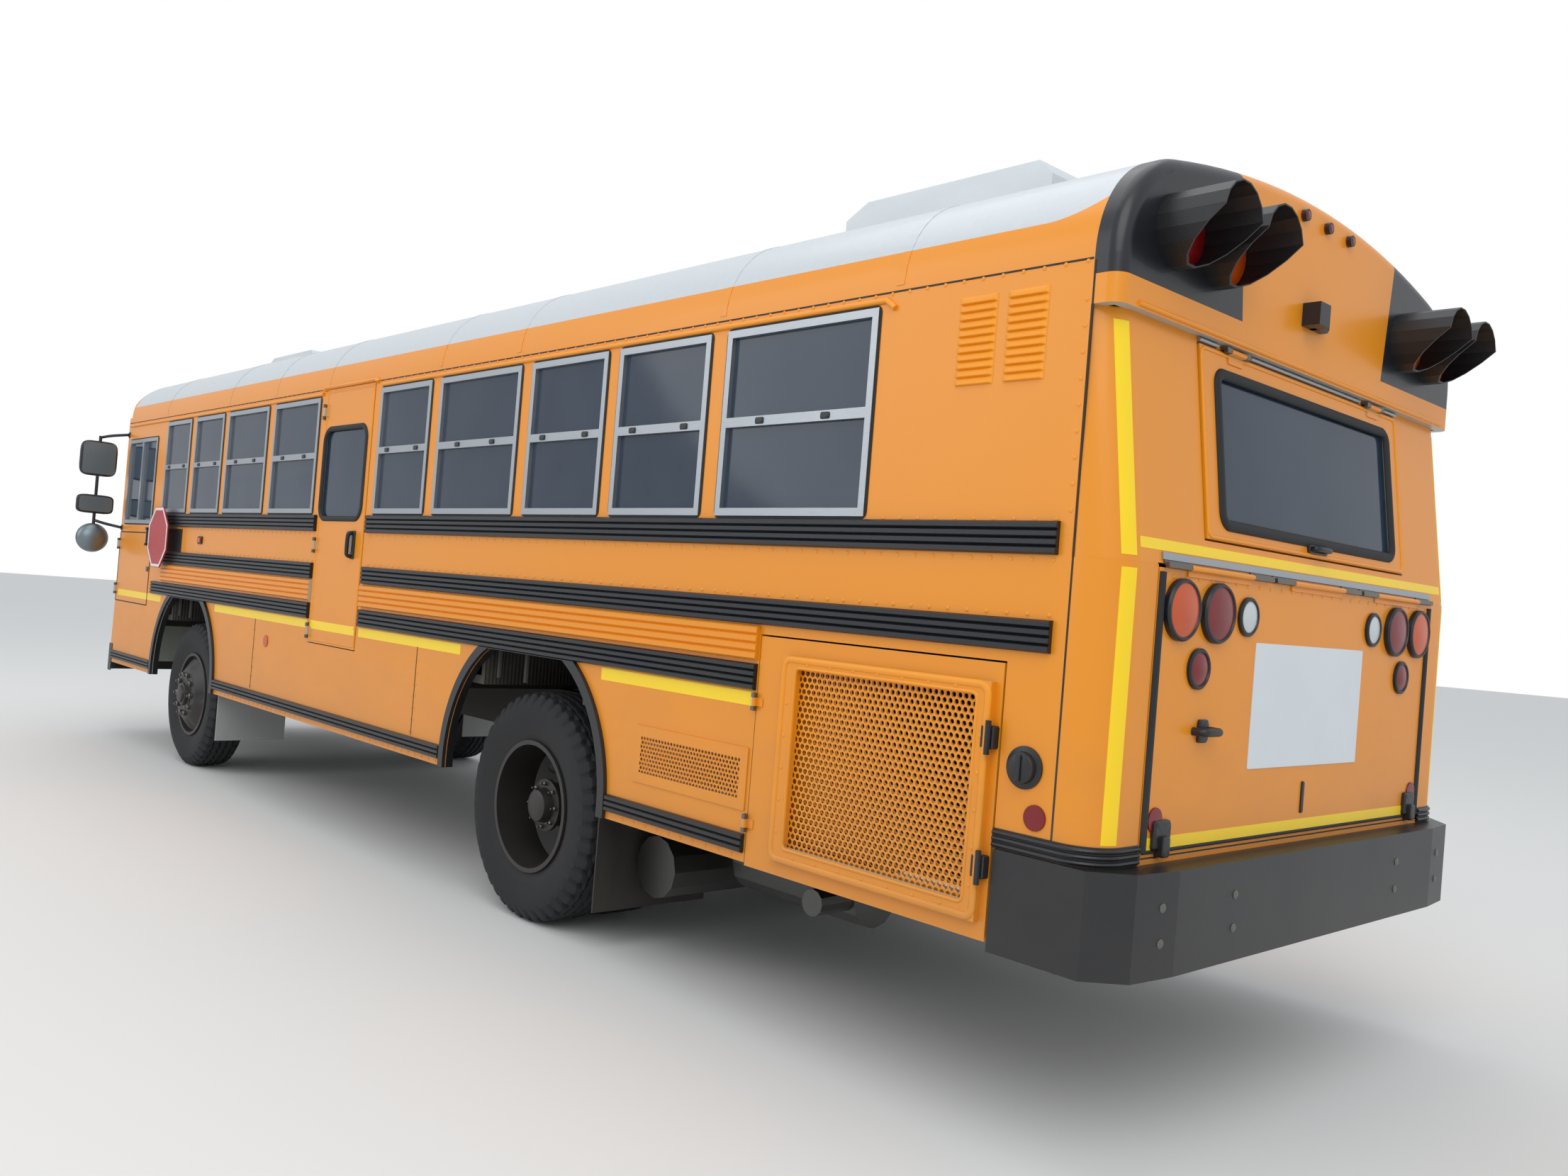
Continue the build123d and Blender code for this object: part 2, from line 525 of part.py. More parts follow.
# Front axle: a beam with a kingpin boss at each end, on two spring packs
BOSS_RADIUS = 46.0
BOSS_HALF = 60.0
PIN_RADIUS = 22.0
with BuildPart() as front_axle:
    with BuildSketch(cross_plane(FRONT_AXLE - 45)):
        with BuildLine():
            drop = 90.0
            ramp = KINGPIN_Y - 2 * BOSS_RADIUS
            right = [(KINGPIN_Y, 0), (ramp, 0), (640, -drop)]
            lower = [(y, TYRE_RADIUS - 50 + dz) for y, dz in right]
            upper = [(y, TYRE_RADIUS + 50 + dz) for y, dz in right]
            mirrored = [(-y, z) for y, z in reversed(upper)] + [(-y, z) for y, z in lower]
            Polyline(*reversed(lower), *upper, *mirrored, close=True)
        make_face()
    extrude(amount=90)
    for sign in (-1, 1):
        rod((FRONT_AXLE, sign * KINGPIN_Y, TYRE_RADIUS - BOSS_HALF),
            (FRONT_AXLE, sign * KINGPIN_Y, TYRE_RADIUS + BOSS_HALF), BOSS_RADIUS)
        drill((FRONT_AXLE, sign * KINGPIN_Y, TYRE_RADIUS - 2 * BOSS_HALF),
              (FRONT_AXLE, sign * KINGPIN_Y, TYRE_RADIUS + 2 * BOSS_HALF), PIN_RADIUS + PIN_GAP)
        add(spring_pack(FRONT_AXLE, sign * (RAIL_Y[0] + RAIL_Y[1]) / 2, TYRE_RADIUS + 45 - drop, 590))
save(front_axle.part, "front_axle")

# Steering knuckles: a fork and kingpin round the boss, and the spindle that carries the wheel
FORK_GAP = 5.0
FORK_THICK = 34.0
SPINDLE_RADIUS = 38.0
HUB_FACE_Y = 1168.0
for name, sign in (("knuckle_left", 1), ("knuckle_right", -1)):
    with BuildPart() as knuckle:
        low = TYRE_RADIUS - BOSS_HALF - FORK_GAP
        high = TYRE_RADIUS + BOSS_HALF + FORK_GAP
        rod((FRONT_AXLE, sign * KINGPIN_Y, low - FORK_THICK), (FRONT_AXLE, sign * KINGPIN_Y, high + FORK_THICK),
            PIN_RADIUS)
        for z in (low - FORK_THICK, high):
            rod((FRONT_AXLE, sign * KINGPIN_Y, z), (FRONT_AXLE, sign * KINGPIN_Y, z + FORK_THICK), BOSS_RADIUS)
            arm = sorted((sign * KINGPIN_Y, sign * (KINGPIN_Y + BOSS_RADIUS + 30)))
            block(FRONT_AXLE - BOSS_RADIUS, FRONT_AXLE + BOSS_RADIUS, arm[0], arm[1], z, z + FORK_THICK)
        web = sorted((sign * (KINGPIN_Y + BOSS_RADIUS + 8), sign * (KINGPIN_Y + BOSS_RADIUS + 30)))
        block(FRONT_AXLE - BOSS_RADIUS, FRONT_AXLE + BOSS_RADIUS, web[0], web[1], low - FORK_THICK, high + FORK_THICK)
        rod((FRONT_AXLE, sign * (KINGPIN_Y + BOSS_RADIUS + 20), TYRE_RADIUS), (FRONT_AXLE, sign * HUB_FACE_Y, TYRE_RADIUS),
            SPINDLE_RADIUS)
    save(knuckle.part, name)

# Rear axle: a round housing with a differential, on two spring packs
HOUSING_RADIUS = 62.0
with BuildPart() as rear_axle:
    rod((REAR_AXLE, -560, TYRE_RADIUS), (REAR_AXLE, 560, TYRE_RADIUS), HOUSING_RADIUS)
    rod((REAR_AXLE, -REAR_WHEEL_Y, TYRE_RADIUS), (REAR_AXLE, REAR_WHEEL_Y, TYRE_RADIUS), SPINDLE_RADIUS)
    rod((REAR_AXLE - 130, 0, TYRE_RADIUS), (REAR_AXLE + 110, 0, TYRE_RADIUS), 190)
    rod((REAR_AXLE - 330, 0, TYRE_RADIUS), (REAR_AXLE - 120, 0, TYRE_RADIUS), 90)
    for sign in (-1, 1):
        add(spring_pack(REAR_AXLE, sign * (RAIL_Y[0] + RAIL_Y[1]) / 2, TYRE_RADIUS + HOUSING_RADIUS - 20, 610))
save(rear_axle.part, "rear_axle")


WHEEL_SIDES = 28
HUB_SIDES = 14


def tyre_ring(axle, centre_y):
    """One tyre: flat tread, sidewalls that bulge, and beads beside the rim's flanges."""
    half = TYRE_WIDTH / 2
    inner = RIM_RADIUS + PIN_GAP
    outline = [(half * 0.75, inner), (half, 405), (half * 0.8, TYRE_RADIUS)]
    loop = [(y, r) for y, r in outline] + [(-y, r) for y, r in reversed(outline)]
    return facet_ring((x_at(axle), centre_y, TYRE_RADIUS), (0, 1, 0), loop, WHEEL_SIDES)


def rim_ring(axle, centre_y, face_y, hub_radius):
    """One steel wheel: a barrel with flanges, and a disc that dishes to the face that meets the hub."""
    half = TYRE_WIDTH / 2 * 0.78
    bed = RIM_RADIUS - FLANGE
    face = abs(face_y - centre_y)
    knee = face - 62
    toward = 1 if face_y > centre_y else -1
    loop = [(half + FLANGE, bed), (half + FLANGE, RIM_RADIUS + FLANGE), (half, RIM_RADIUS), (-half, RIM_RADIUS),
            (-half - FLANGE, RIM_RADIUS + FLANGE), (-half - FLANGE, bed), (knee, bed), (face - FLANGE, 178),
            (face - FLANGE, hub_radius), (face, hub_radius), (face, 182), (knee + FLANGE, bed)]
    return facet_ring((x_at(axle), centre_y, TYRE_RADIUS), (0, toward, 0), loop, WHEEL_SIDES)


HUB_RADIUS = 100.0
DRUM_RADIUS = 170.0
DISC_OFFSET = 158.0
WHEEL_JOBS = [("front_left", FRONT_AXLE, 1, [FRONT_WHEEL_Y]), ("front_right", FRONT_AXLE, -1, [FRONT_WHEEL_Y]),
              ("rear_left", REAR_AXLE, 1, [REAR_WHEEL_Y, REAR_WHEEL_Y - DUAL_SPACING]),
              ("rear_right", REAR_AXLE, -1, [REAR_WHEEL_Y, REAR_WHEEL_Y - DUAL_SPACING])]
for name, axle, sign, centres in WHEEL_JOBS:
    steered = axle == FRONT_AXLE
    face = FRONT_WHEEL_Y + DISC_OFFSET if steered else REAR_WHEEL_Y - DUAL_SPACING / 2
    with BuildPart() as tyre:
        for centre in centres:
            add(tyre_ring(axle, sign * centre))
    save(tyre.part, f"tyre_{name}")
    hub_out = face + 46 if steered else REAR_WHEEL_Y + 90
    bore_end = HUB_FACE_Y + 4 if steered else REAR_WHEEL_Y + 4
    bore = SPINDLE_RADIUS + PIN_GAP
    hub_loop = [(face - 150, bore), (bore_end, bore), (bore_end, 0), (hub_out, 0), (hub_out, HUB_RADIUS),
                (face - 14, HUB_RADIUS), (face - 14, DRUM_RADIUS), (face - 150, DRUM_RADIUS)]
    with BuildPart() as rim:
        add(facet_ring((x_at(axle), 0, TYRE_RADIUS), (0, sign, 0), hub_loop, HUB_SIDES))
        for centre in centres:
            add(rim_ring(axle, sign * centre, sign * face, HUB_RADIUS - 10))
    save(rim.part, f"rim_{name}")

# Rub rails: black ribbed bands along both sides, and the body-coloured ribbed band between the lower two
RAIL_PROUD = 20.0
RAIL_VALLEY = 11.0


def ribbed_band(sign, s0, s1, z0, z1, ribs):
    """A pressed band whose section is a row of ribs, laid along the side."""
    pitch = (z1 - z0) / ribs
    points = [(sign * HALF, z0)]
    for i in range(ribs):
        base = z0 + i * pitch
        points.append((sign * (HALF + RAIL_VALLEY), base))
        points.append((sign * (HALF + RAIL_PROUD), base + pitch * 0.22))
        points.append((sign * (HALF + RAIL_PROUD), base + pitch * 0.78))
    points.append((sign * (HALF + RAIL_VALLEY), z1))
    points.append((sign * HALF, z1))
    with BuildPart() as band:
        with BuildSketch(cross_plane(s0)):
            with BuildLine():
                Polyline(*points, close=True)
            make_face()
        extrude(amount=s1 - s0)
    return band.part


RUB_TOP = (1722.0, 1819.0, 4)
RUB_MIDDLE = (1440.0, 1535.0, 4)
RUB_BAND = (1312.0, 1434.0, 4)
RUB_THIRD = (1204.0, 1299.0, 4)
RUB_LOW = (625.0, 692.0, 3)
RAIL_GAP = 10.0
RIB_END = 8293.0         # front end of the left side's middle rail and ribs, behind the stop sign
door_rear = DOOR_SPAN[0] - 35
door_front = DOOR_SPAN[1] + RAIL_GAP
TRIM_WIDE = 46.0         # black trims round the wheel arches
TRIM_PROUD = 18.0
arch_clear = ARCH_FOOT + TRIM_WIDE + RAIL_GAP
rail_rear = RADIATOR_DOOR[1] + 2 * GAP
low_spans = [(rail_rear, REAR_AXLE - arch_clear), (REAR_AXLE + arch_clear, FRONT_AXLE - arch_clear)]
LEFT_RAILS = [(195, door_rear, RUB_TOP), (door_front, 8430, RUB_TOP),
              (195, door_rear, RUB_MIDDLE), (door_front, RIB_END, RUB_MIDDLE),
              (rail_rear, door_rear, RUB_THIRD), (door_front, 8506, RUB_THIRD),
              (FRONT_AXLE + arch_clear, 9440, RUB_LOW)]
LEFT_RAILS += [(s0, s1, RUB_LOW) for s0, s1 in low_spans]
RIGHT_RAILS = [(195, ENTRANCE_SPAN[0] - 40, RUB_TOP), (195, ENTRANCE_SPAN[0] - 40, RUB_MIDDLE),
               (rail_rear, ENTRANCE_SPAN[0] - 40, RUB_THIRD)]
RIGHT_RAILS += [(s0, s1, RUB_LOW) for s0, s1 in low_spans]
with BuildPart() as rub_rails:
    for s0, s1, (z0, z1, ribs) in LEFT_RAILS:
        add(ribbed_band(1, s0, s1, z0, z1, ribs))
    for s0, s1, (z0, z1, ribs) in RIGHT_RAILS:
        add(ribbed_band(-1, s0, s1, z0, z1, ribs))
save(rub_rails.part, "rub_rails")

# The side panels carry the body-coloured ribs between the lower two rails
for name, panel, sign in (("side_panel_left", side_panels[0], 1), ("side_panel_right", side_panels[1], -1)):
    spans = [(RADIATOR_DOOR[1] + 2 * GAP, door_rear), (door_front, RIB_END)] if sign > 0 else [
        (RADIATOR_DOOR[1] + 2 * GAP, ENTRANCE_SPAN[0] - 40)]
    with BuildPart() as ribbed_side:
        add(panel)
        for s0, s1 in spans:
            add(ribbed_band(sign, s0, s1, *RUB_BAND))
    save(ribbed_side.part, name)

# Window frames and glass
FRAME_FACE = 28.0
FRAME_PROUD = 8.0
FRAME_DEEP = 30.0
GLASS_IN = 16.0
GLASS_THICK = 6.0
SASH_Z = 2175.0
window_jobs = [(1, s0, s1, WINDOW_SILL_Z, WINDOW_HEAD_Z) for s0, s1 in LEFT_WINDOWS]
window_jobs.append((1, DRIVER_SPAN[0], DRIVER_SPAN[1], DRIVER_SILL_Z, DRIVER_HEAD_Z))
window_jobs += [(-1, s0, s1, WINDOW_SILL_Z, WINDOW_HEAD_Z) for s0, s1 in RIGHT_WINDOWS]
with BuildPart() as window_frames:
    for sign, s0, s1, z0, z1 in window_jobs:
        base = HALF + FRAME_PROUD if sign > 0 else -HALF + FRAME_DEEP
        with BuildSketch(side_plane(base)):
            field(x_at(s0), x_at(s1), z0, z1)
            field(x_at(s0 + FRAME_FACE), x_at(s1 - FRAME_FACE), z0 + FRAME_FACE, z1 - FRAME_FACE, Mode.SUBTRACT)
        extrude(amount=FRAME_DEEP + FRAME_PROUD)
        front = HALF + FRAME_PROUD if sign > 0 else -HALF + GLASS_IN - GLASS_THICK
        with BuildSketch(side_plane(front)):
            if z0 == DRIVER_SILL_Z:
                middle = (s0 + s1) / 2
                field(x_at(middle - 18), x_at(middle + 18), z0 + FRAME_FACE / 2, z1 - FRAME_FACE / 2)
            else:
                field(x_at(s0 + FRAME_FACE / 2), x_at(s1 - FRAME_FACE / 2), SASH_Z - 18, SASH_Z + 18)
        extrude(amount=FRAME_PROUD + GLASS_IN - GLASS_THICK)
save(window_frames.part, "window_frames")

with BuildPart() as window_glass:
    for sign, s0, s1, z0, z1 in window_jobs:
        base = HALF - GLASS_IN + GLASS_THICK if sign > 0 else -HALF + GLASS_IN
        with BuildSketch(side_plane(base)):
            field(x_at(s0 + FRAME_FACE), x_at(s1 - FRAME_FACE), z0 + FRAME_FACE, z1 - FRAME_FACE)
        extrude(amount=GLASS_THICK)
save(window_glass.part, "window_glass")

# Windshield panes, leaning like the nose they sit in
PANE_IN = 14.0
with BuildPart() as windshield:
    add(nose_solid(PANE_IN))
    add(nose_solid(PANE_IN + GLASS_THICK), mode=Mode.SUBTRACT)
    block(FRONT_SEAM, NOSE + WALL, -BODY_WIDTH, BODY_WIDTH, PANE_Z[0] - WALL, FRONT_CAP_Z, Mode.INTERSECT)
    with BuildSketch(cross_plane(NOSE + WALL)):
        for side_sign in (-1, 1):
            y_pair = sorted((side_sign * PANE_Y[0], side_sign * PANE_Y[1]))
            field(y_pair[0], y_pair[1], PANE_Z[0], PANE_Z[1], radius=60)
    extrude(amount=-8 * WALL, mode=Mode.INTERSECT)
save(windshield.part, "windshield")


def framed_leaf(plane, u0, u1, v0, v1, windows, thick):
    """A door leaf drawn on a plane with its window openings cut through."""
    with BuildPart() as leaf:
        with BuildSketch(plane):
            field(u0, u1, v0, v1)
            for a0, a1, b0, b1, corner in windows:
                field(a0, a1, b0, b1, Mode.SUBTRACT, radius=corner)
        extrude(amount=thick)
    return leaf.part


# Hinges stand outside the skin: two ears and a pin on the body, a bored barrel between them on the door
BARREL_RADIUS = 9.0
BARREL_PIN = 4.0
AXIS_OUT = 12.5
HINGE_PLATE = 4.0
EAR_GAP = 0.5
EAR_HALF = 7.0           # a square ear stays inside the circle that the door's face sweeps
LEAF_SINK = 2.0          # the door's leaf is let into its face
PIN_SIDES = 8
body_hinges = []


def across(plane, x):
    """The plane square to another one's X at this distance along it, so that sketches are drawn in its Y and Z."""
    return Plane(origin=plane.from_local_coords((x, 0, 0)), x_dir=plane.y_dir, z_dir=plane.x_dir)


def hinge_row(plane, centres, barrel, ear, body_leaf, door_leaf, door_face):
    """A row of hinges. The plane's X runs along the axis, Y from the door to the body, Z out of the skin."""
    axis_out = AXIS_OUT + max(door_face, 0)
    leaf_top = max(door_face, 0) + HINGE_PLATE
    ear_top = axis_out + EAR_HALF
    ear_outline = [(GAP / 2, 0), (body_leaf, 0), (body_leaf, HINGE_PLATE), (BARREL_RADIUS, HINGE_PLATE),
                   (BARREL_RADIUS, ear_top), (-EAR_HALF, ear_top), (-EAR_HALF, axis_out - EAR_HALF),
                   (GAP / 2, axis_out - EAR_HALF)]
    door_edge = -GAP / 2 - 1
    door_outline = [(-door_leaf, door_face - LEAF_SINK), (door_edge, door_face - LEAF_SINK), (door_edge, axis_out),
                    (-BARREL_RADIUS + 1, axis_out), (-BARREL_RADIUS + 1, leaf_top), (-door_leaf, leaf_top)]
    with BuildPart() as body_side:
        for centre in centres:
            for x in (centre - barrel / 2 - EAR_GAP - ear, centre + barrel / 2 + EAR_GAP):
                with BuildSketch(across(plane, x)):
                    with BuildLine():
                        Polyline(*ear_outline, close=True)
                    make_face()
                extrude(amount=ear)
            with BuildSketch(across(plane, centre - barrel / 2 - EAR_GAP - ear / 2)):
                with Locations((0, axis_out)):
                    RegularPolygon(BARREL_PIN, PIN_SIDES)
            extrude(amount=barrel + 2 * EAR_GAP + ear)
    with BuildPart() as door_side:
        for centre in centres:
            with BuildSketch(across(plane, centre - barrel / 2)):
                with BuildLine():
                    Polyline(*door_outline, close=True)
                make_face()
                with Locations((0, axis_out)):
                    RegularPolygon(BARREL_RADIUS, PIN_SIDES)
                    RegularPolygon(BARREL_PIN + PIN_GAP, PIN_SIDES, major_radius=False, mode=Mode.SUBTRACT)
            extrude(amount=barrel)
    body_hinges.append(body_side.part)
    return door_side.part


def left_hinge_plane(station):
    """Upright hinge line on the left skin, the body ahead of it."""
    return Plane(origin=(x_at(station), HALF, 0), x_dir=(0, 0, 1), z_dir=(0, 1, 0))


# Emergency door on the left, hinged at its front edge
door_x = (x_at(DOOR_SPAN[0] + GAP), x_at(DOOR_SPAN[1] - GAP))
DOOR_GLASS = (DOOR_SPAN[0] + 68, DOOR_SPAN[1] - 22 - GAP, 1804.0, 2320.0)
with BuildPart() as emergency_door:
    glass = (x_at(DOOR_GLASS[0]), x_at(DOOR_GLASS[1]), DOOR_GLASS[2], DOOR_GLASS[3], 70)
    add(framed_leaf(side_plane(HALF + 2), door_x[0], door_x[1], EMERGENCY_Z[0], EMERGENCY_Z[1], [glass], DOOR_THICK))
    handle_x = DOOR_SPAN[0] + 130
    block(handle_x, handle_x + 26, HALF, HALF + 45, 1610, 1730)
    add(hinge_row(left_hinge_plane(DOOR_SPAN[1] - GAP / 2), [1135, 1640, 2430], 50, 20, 30, 36, 2))
save(emergency_door.part, "emergency_door")
with BuildPart() as emergency_glass:
    with BuildSketch(side_plane(HALF - GLASS_IN + GLASS_THICK)):
        field(x_at(DOOR_GLASS[0]), x_at(DOOR_GLASS[1]), DOOR_GLASS[2], DOOR_GLASS[3], radius=70)
    extrude(amount=GLASS_THICK)
save(emergency_glass.part, "emergency_glass")

# Entrance door on the right: two leaves that swing outward from the outer jambs
leaf_mid = (ENTRANCE_SPAN[0] + ENTRANCE_SPAN[1]) / 2
LEAF_STILE = 60.0
LEAF_SPANS = {"rear": (ENTRANCE_SPAN[0] + GAP, leaf_mid - GAP / 2), "front": (leaf_mid + GAP / 2, ENTRANCE_SPAN[1] - GAP)}
for name, (s0, s1) in LEAF_SPANS.items():
    panes = [(x_at(s0 + LEAF_STILE), x_at(s1 - LEAF_STILE), z0, z1, 0) for z0, z1 in ((520, 1330), (1420, 2360))]
    with BuildPart() as leaf:
        add(framed_leaf(side_plane(-HALF + DOOR_THICK), x_at(s0), x_at(s1), ENTRANCE_Z[0], ENTRANCE_Z[1], panes, DOOR_THICK))
        front = name == "front"
        edge = s1 + GAP / 2 if front else s0 - GAP / 2
        up = -1 if front else 1
        edge_plane = Plane(origin=(x_at(edge), -HALF, 0), x_dir=(0, 0, up), z_dir=(0, -1, 0))
        add(hinge_row(edge_plane, [up * z for z in (1000, 2200)], 50, 20, 30, 36, 0))
    save(leaf.part, f"entrance_{name}")
    with BuildPart() as leaf_glass:
        with BuildSketch(side_plane(-HALF + GLASS_IN)):
            for x0, x1, z0, z1, corner in panes:
                field(x0, x1, z0, z1, radius=corner)
        extrude(amount=GLASS_THICK)
    save(leaf_glass.part, f"entrance_{name}_glass")

# Rear window hatch, hinged along its top edge
hatch_plane = rear_slope_plane.offset(6)
HATCH_GLASS = (631.0, 160.0, 620.0)
with BuildPart() as hatch:
    glass = (-HATCH_GLASS[0], HATCH_GLASS[0], HATCH_GLASS[1], HATCH_GLASS[2], 30)
    add(framed_leaf(hatch_plane, -HATCH_HALF, HATCH_HALF, HATCH_FOOT, HATCH_FOOT + HATCH_HEIGHT, [glass], -DOOR_THICK))
    top_edge = rear_slope_plane.from_local_coords((0, HATCH_FOOT + HATCH_HEIGHT + GAP / 2, 0))
    hatch_hinge = Plane(origin=top_edge, x_dir=(0, -1, 0), z_dir=rear_slope_plane.z_dir)
    add(hinge_row(hatch_hinge, [-520, 520], 90, 30, 16, 36, 6))
save(hatch.part, "rear_hatch")
with BuildPart() as hatch_glass:
    with BuildSketch(hatch_plane.offset(-GLASS_IN)):
        field(-HATCH_GLASS[0], HATCH_GLASS[0], HATCH_GLASS[1], HATCH_GLASS[2], radius=30)
    extrude(amount=GLASS_THICK)
save(hatch_glass.part, "rear_hatch_glass")

# Engine door, hinged along its top edge, with the tail lamps on it
engine_plane = Plane(origin=(x_at(0), 0, 0), x_dir=(0, -1, 0), z_dir=(-1, 0, 0))
with BuildPart() as engine_door:
    add(framed_leaf(engine_plane, -ENGINE_DOOR_HALF, ENGINE_DOOR_HALF, ENGINE_DOOR_Z[0], ENGINE_DOOR_Z[1] - GAP, [], -DOOR_THICK))
    add(hinge_row(rear_slope_plane, [-660, 0, 660], 380, 130, 24, 24, -7))
save(engine_door.part, "engine_door")
TAIL_LAMPS = [(877, 1596, 92, 34), (667, 1596, 92, 34), (470, 1595, 62, 20), (751, 1426, 62, 20)]
LAMP_SIDES = 16
with BuildPart() as tail_lamps:
    for y, z, radius, depth in TAIL_LAMPS:
        for sign in (-1, 1):
            with BuildSketch(engine_plane):
                with Locations((sign * y, z)):
                    RegularPolygon(radius, LAMP_SIDES)
            extrude(amount=depth)
save(tail_lamps.part, "tail_lamps")

# Radiator door on the left tail, hinged at its front edge, with its raised grille and the sheet behind it
GRILLE_FRAME = (375.0, 1280.0, 637.0, 1342.0)
GRILLE_SHEET = (430.0, 1210.0, 690.0, 1300.0)
with BuildPart() as radiator_door:
    s0, s1, z0, z1 = RADIATOR_DOOR
    add(framed_leaf(side_plane(HALF + 2), x_at(s0), x_at(s1), z0, z1, [], DOOR_THICK))
    with BuildSketch(side_plane(HALF + 2 + 24)):
        s0, s1, z0, z1 = GRILLE_FRAME
        field(x_at(s0), x_at(s1), z0, z1)
        s0, s1, z0, z1 = GRILLE_SHEET
        field(x_at(s0), x_at(s1), z0, z1, Mode.SUBTRACT)
    extrude(amount=24 + 2)
    add(hinge_row(left_hinge_plane(RADIATOR_DOOR[1] + GAP / 2), [733, 1165], 30, 16, 18, 36, 2))
save(radiator_door.part, "radiator_door")

with BuildPart() as vent_grille:
    s0, s1, z0, z1 = LOUVRE_GRILLE
    block(s0, s1, HALF, HALF + 6, z0, z1)
save(vent_grille.part, "vent_grille")

# Driver's access door on the left nose, hinged at its front edge
with BuildPart() as driver_hatch:
    s0, s1, z0, z1 = DRIVER_HATCH
    add(framed_leaf(side_plane(HALF + 1), x_at(s0), x_at(s1), z0, z1, [], DOOR_THICK))
    add(hinge_row(left_hinge_plane(DRIVER_HATCH[1] + GAP / 2), [1200, 1570], 50, 20, 14, 36, 1))
save(driver_hatch.part, "driver_hatch")

with BuildPart() as hinges:
    for piece in body_hinges:
        add(piece)
save(hinges.part, "hinges")

# Stop sign folded flat against the left side, hinged on a pin between the ears of its bracket
SIGN_CENTRE = (8249.0, 1636.0)
SIGN_ACROSS = 457.0
SIGN_THICK = 8.0
SIGN_Y = 1286.0
SIGN_HINGE = 8505.0
SIGN_ARM = 50.0          # half the height of the arm between the ears
SIGN_EAR = 20.0
SIGN_PIN = 6.0
SIGN_BARREL = 12.0
with BuildPart() as stop_sign:
    with BuildSketch(side_plane(SIGN_Y + SIGN_THICK / 2)):
        with Locations((x_at(SIGN_CENTRE[0]), SIGN_CENTRE[1])):
            RegularPolygon(SIGN_ACROSS / 2, 8, major_radius=False, rotation=22.5)
        field(x_at(SIGN_CENTRE[0]), x_at(SIGN_HINGE), SIGN_CENTRE[1] - SIGN_ARM, SIGN_CENTRE[1] + SIGN_ARM)
    extrude(amount=SIGN_THICK)
    rod((SIGN_HINGE, SIGN_Y, SIGN_CENTRE[1] - SIGN_ARM), (SIGN_HINGE, SIGN_Y, SIGN_CENTRE[1] + SIGN_ARM), SIGN_BARREL)
    drill((SIGN_HINGE, SIGN_Y, SIGN_CENTRE[1] - 2 * SIGN_ARM), (SIGN_HINGE, SIGN_Y, SIGN_CENTRE[1] + 2 * SIGN_ARM),
          SIGN_PIN + PIN_GAP)
save(stop_sign.part, "stop_sign")

with BuildPart() as sign_bracket:
    ear_z = SIGN_ARM + PIN_GAP
    block(SIGN_HINGE - 22, SIGN_HINGE + 22, HALF, HALF + 6, SIGN_CENTRE[1] - ear_z - SIGN_EAR,
          SIGN_CENTRE[1] + ear_z + SIGN_EAR)
    for z in (SIGN_CENTRE[1] - ear_z - SIGN_EAR, SIGN_CENTRE[1] + ear_z):
        block(SIGN_HINGE - 16, SIGN_HINGE + 16, HALF, SIGN_Y + 16, z, z + SIGN_EAR)
    rod((SIGN_HINGE, SIGN_Y, SIGN_CENTRE[1] - ear_z - SIGN_EAR), (SIGN_HINGE, SIGN_Y, SIGN_CENTRE[1] + ear_z + SIGN_EAR),
        SIGN_PIN)
save(sign_bracket.part, "sign_bracket")

# Bumpers; the front one has two bolt holes for a number plate
PLATE_BOLTS = 178.0
PLATE_HOLE_RADIUS = 4.0
PLATE_HOLE_DEPTH = 40.0
PLATE_Z = 640.0
BUMPER_FLAT = 420.0      # half the bumper's flat middle
with BuildPart() as front_bumper:
    right = [(FRONT_SEAM - 40, HALF + 4), (FRONT_SEAM + 40, HALF + 4), (FRONT_SEAM + 140, HALF - 40), (NOSE - 10, HALF - 220),
             (NOSE + BUMPER_REACH, BUMPER_FLAT)]
    with BuildSketch(Plane.XY.offset(BUMPER_FRONT_Z[0])):
        with BuildLine():
            Polyline(*[(x_at(s), y) for s, y in right], *[(x_at(s), -y) for s, y in reversed(right)], close=True)
        make_face()
    extrude(amount=BUMPER_FRONT_Z[1] - BUMPER_FRONT_Z[0])
    add(nose_outer, mode=Mode.SUBTRACT)
    for sign in (-1, 1):
        drill((NOSE + BUMPER_REACH - PLATE_HOLE_DEPTH, sign * PLATE_BOLTS / 2, PLATE_Z),
              (NOSE + BUMPER_REACH + 10, sign * PLATE_BOLTS / 2, PLATE_Z), PLATE_HOLE_RADIUS)
save(front_bumper.part, "front_bumper")

REAR_BUMPER_Z = (560.0, 860.0)
BUMPER_BACK = 95.0
with BuildPart() as rear_bumper:
    with BuildSketch(Plane.XY.offset(REAR_BUMPER_Z[0])):
        with BuildLine():
            edge = HALF + 12
            Polyline((x_at(335), edge), (x_at(20), edge), (x_at(-BUMPER_BACK + 20), edge - 110), (x_at(-BUMPER_BACK), edge - 300),
                     (x_at(-BUMPER_BACK), -edge + 300), (x_at(-BUMPER_BACK + 20), -edge + 110), (x_at(20), -edge),
                     (x_at(335), -edge), close=True)
        make_face()
        add(plan_face(0), mode=Mode.SUBTRACT)
    extrude(amount=REAR_BUMPER_Z[1] - REAR_BUMPER_Z[0])
save(rear_bumper.part, "rear_bumper")


# Warning lamps with tubular hoods, on both caps
LAMP_Z = 2694.0
LAMP_YS = [700.0, 950.0]
HOOD_RADIUS = 112.0
HOOD_WALL = 5.0


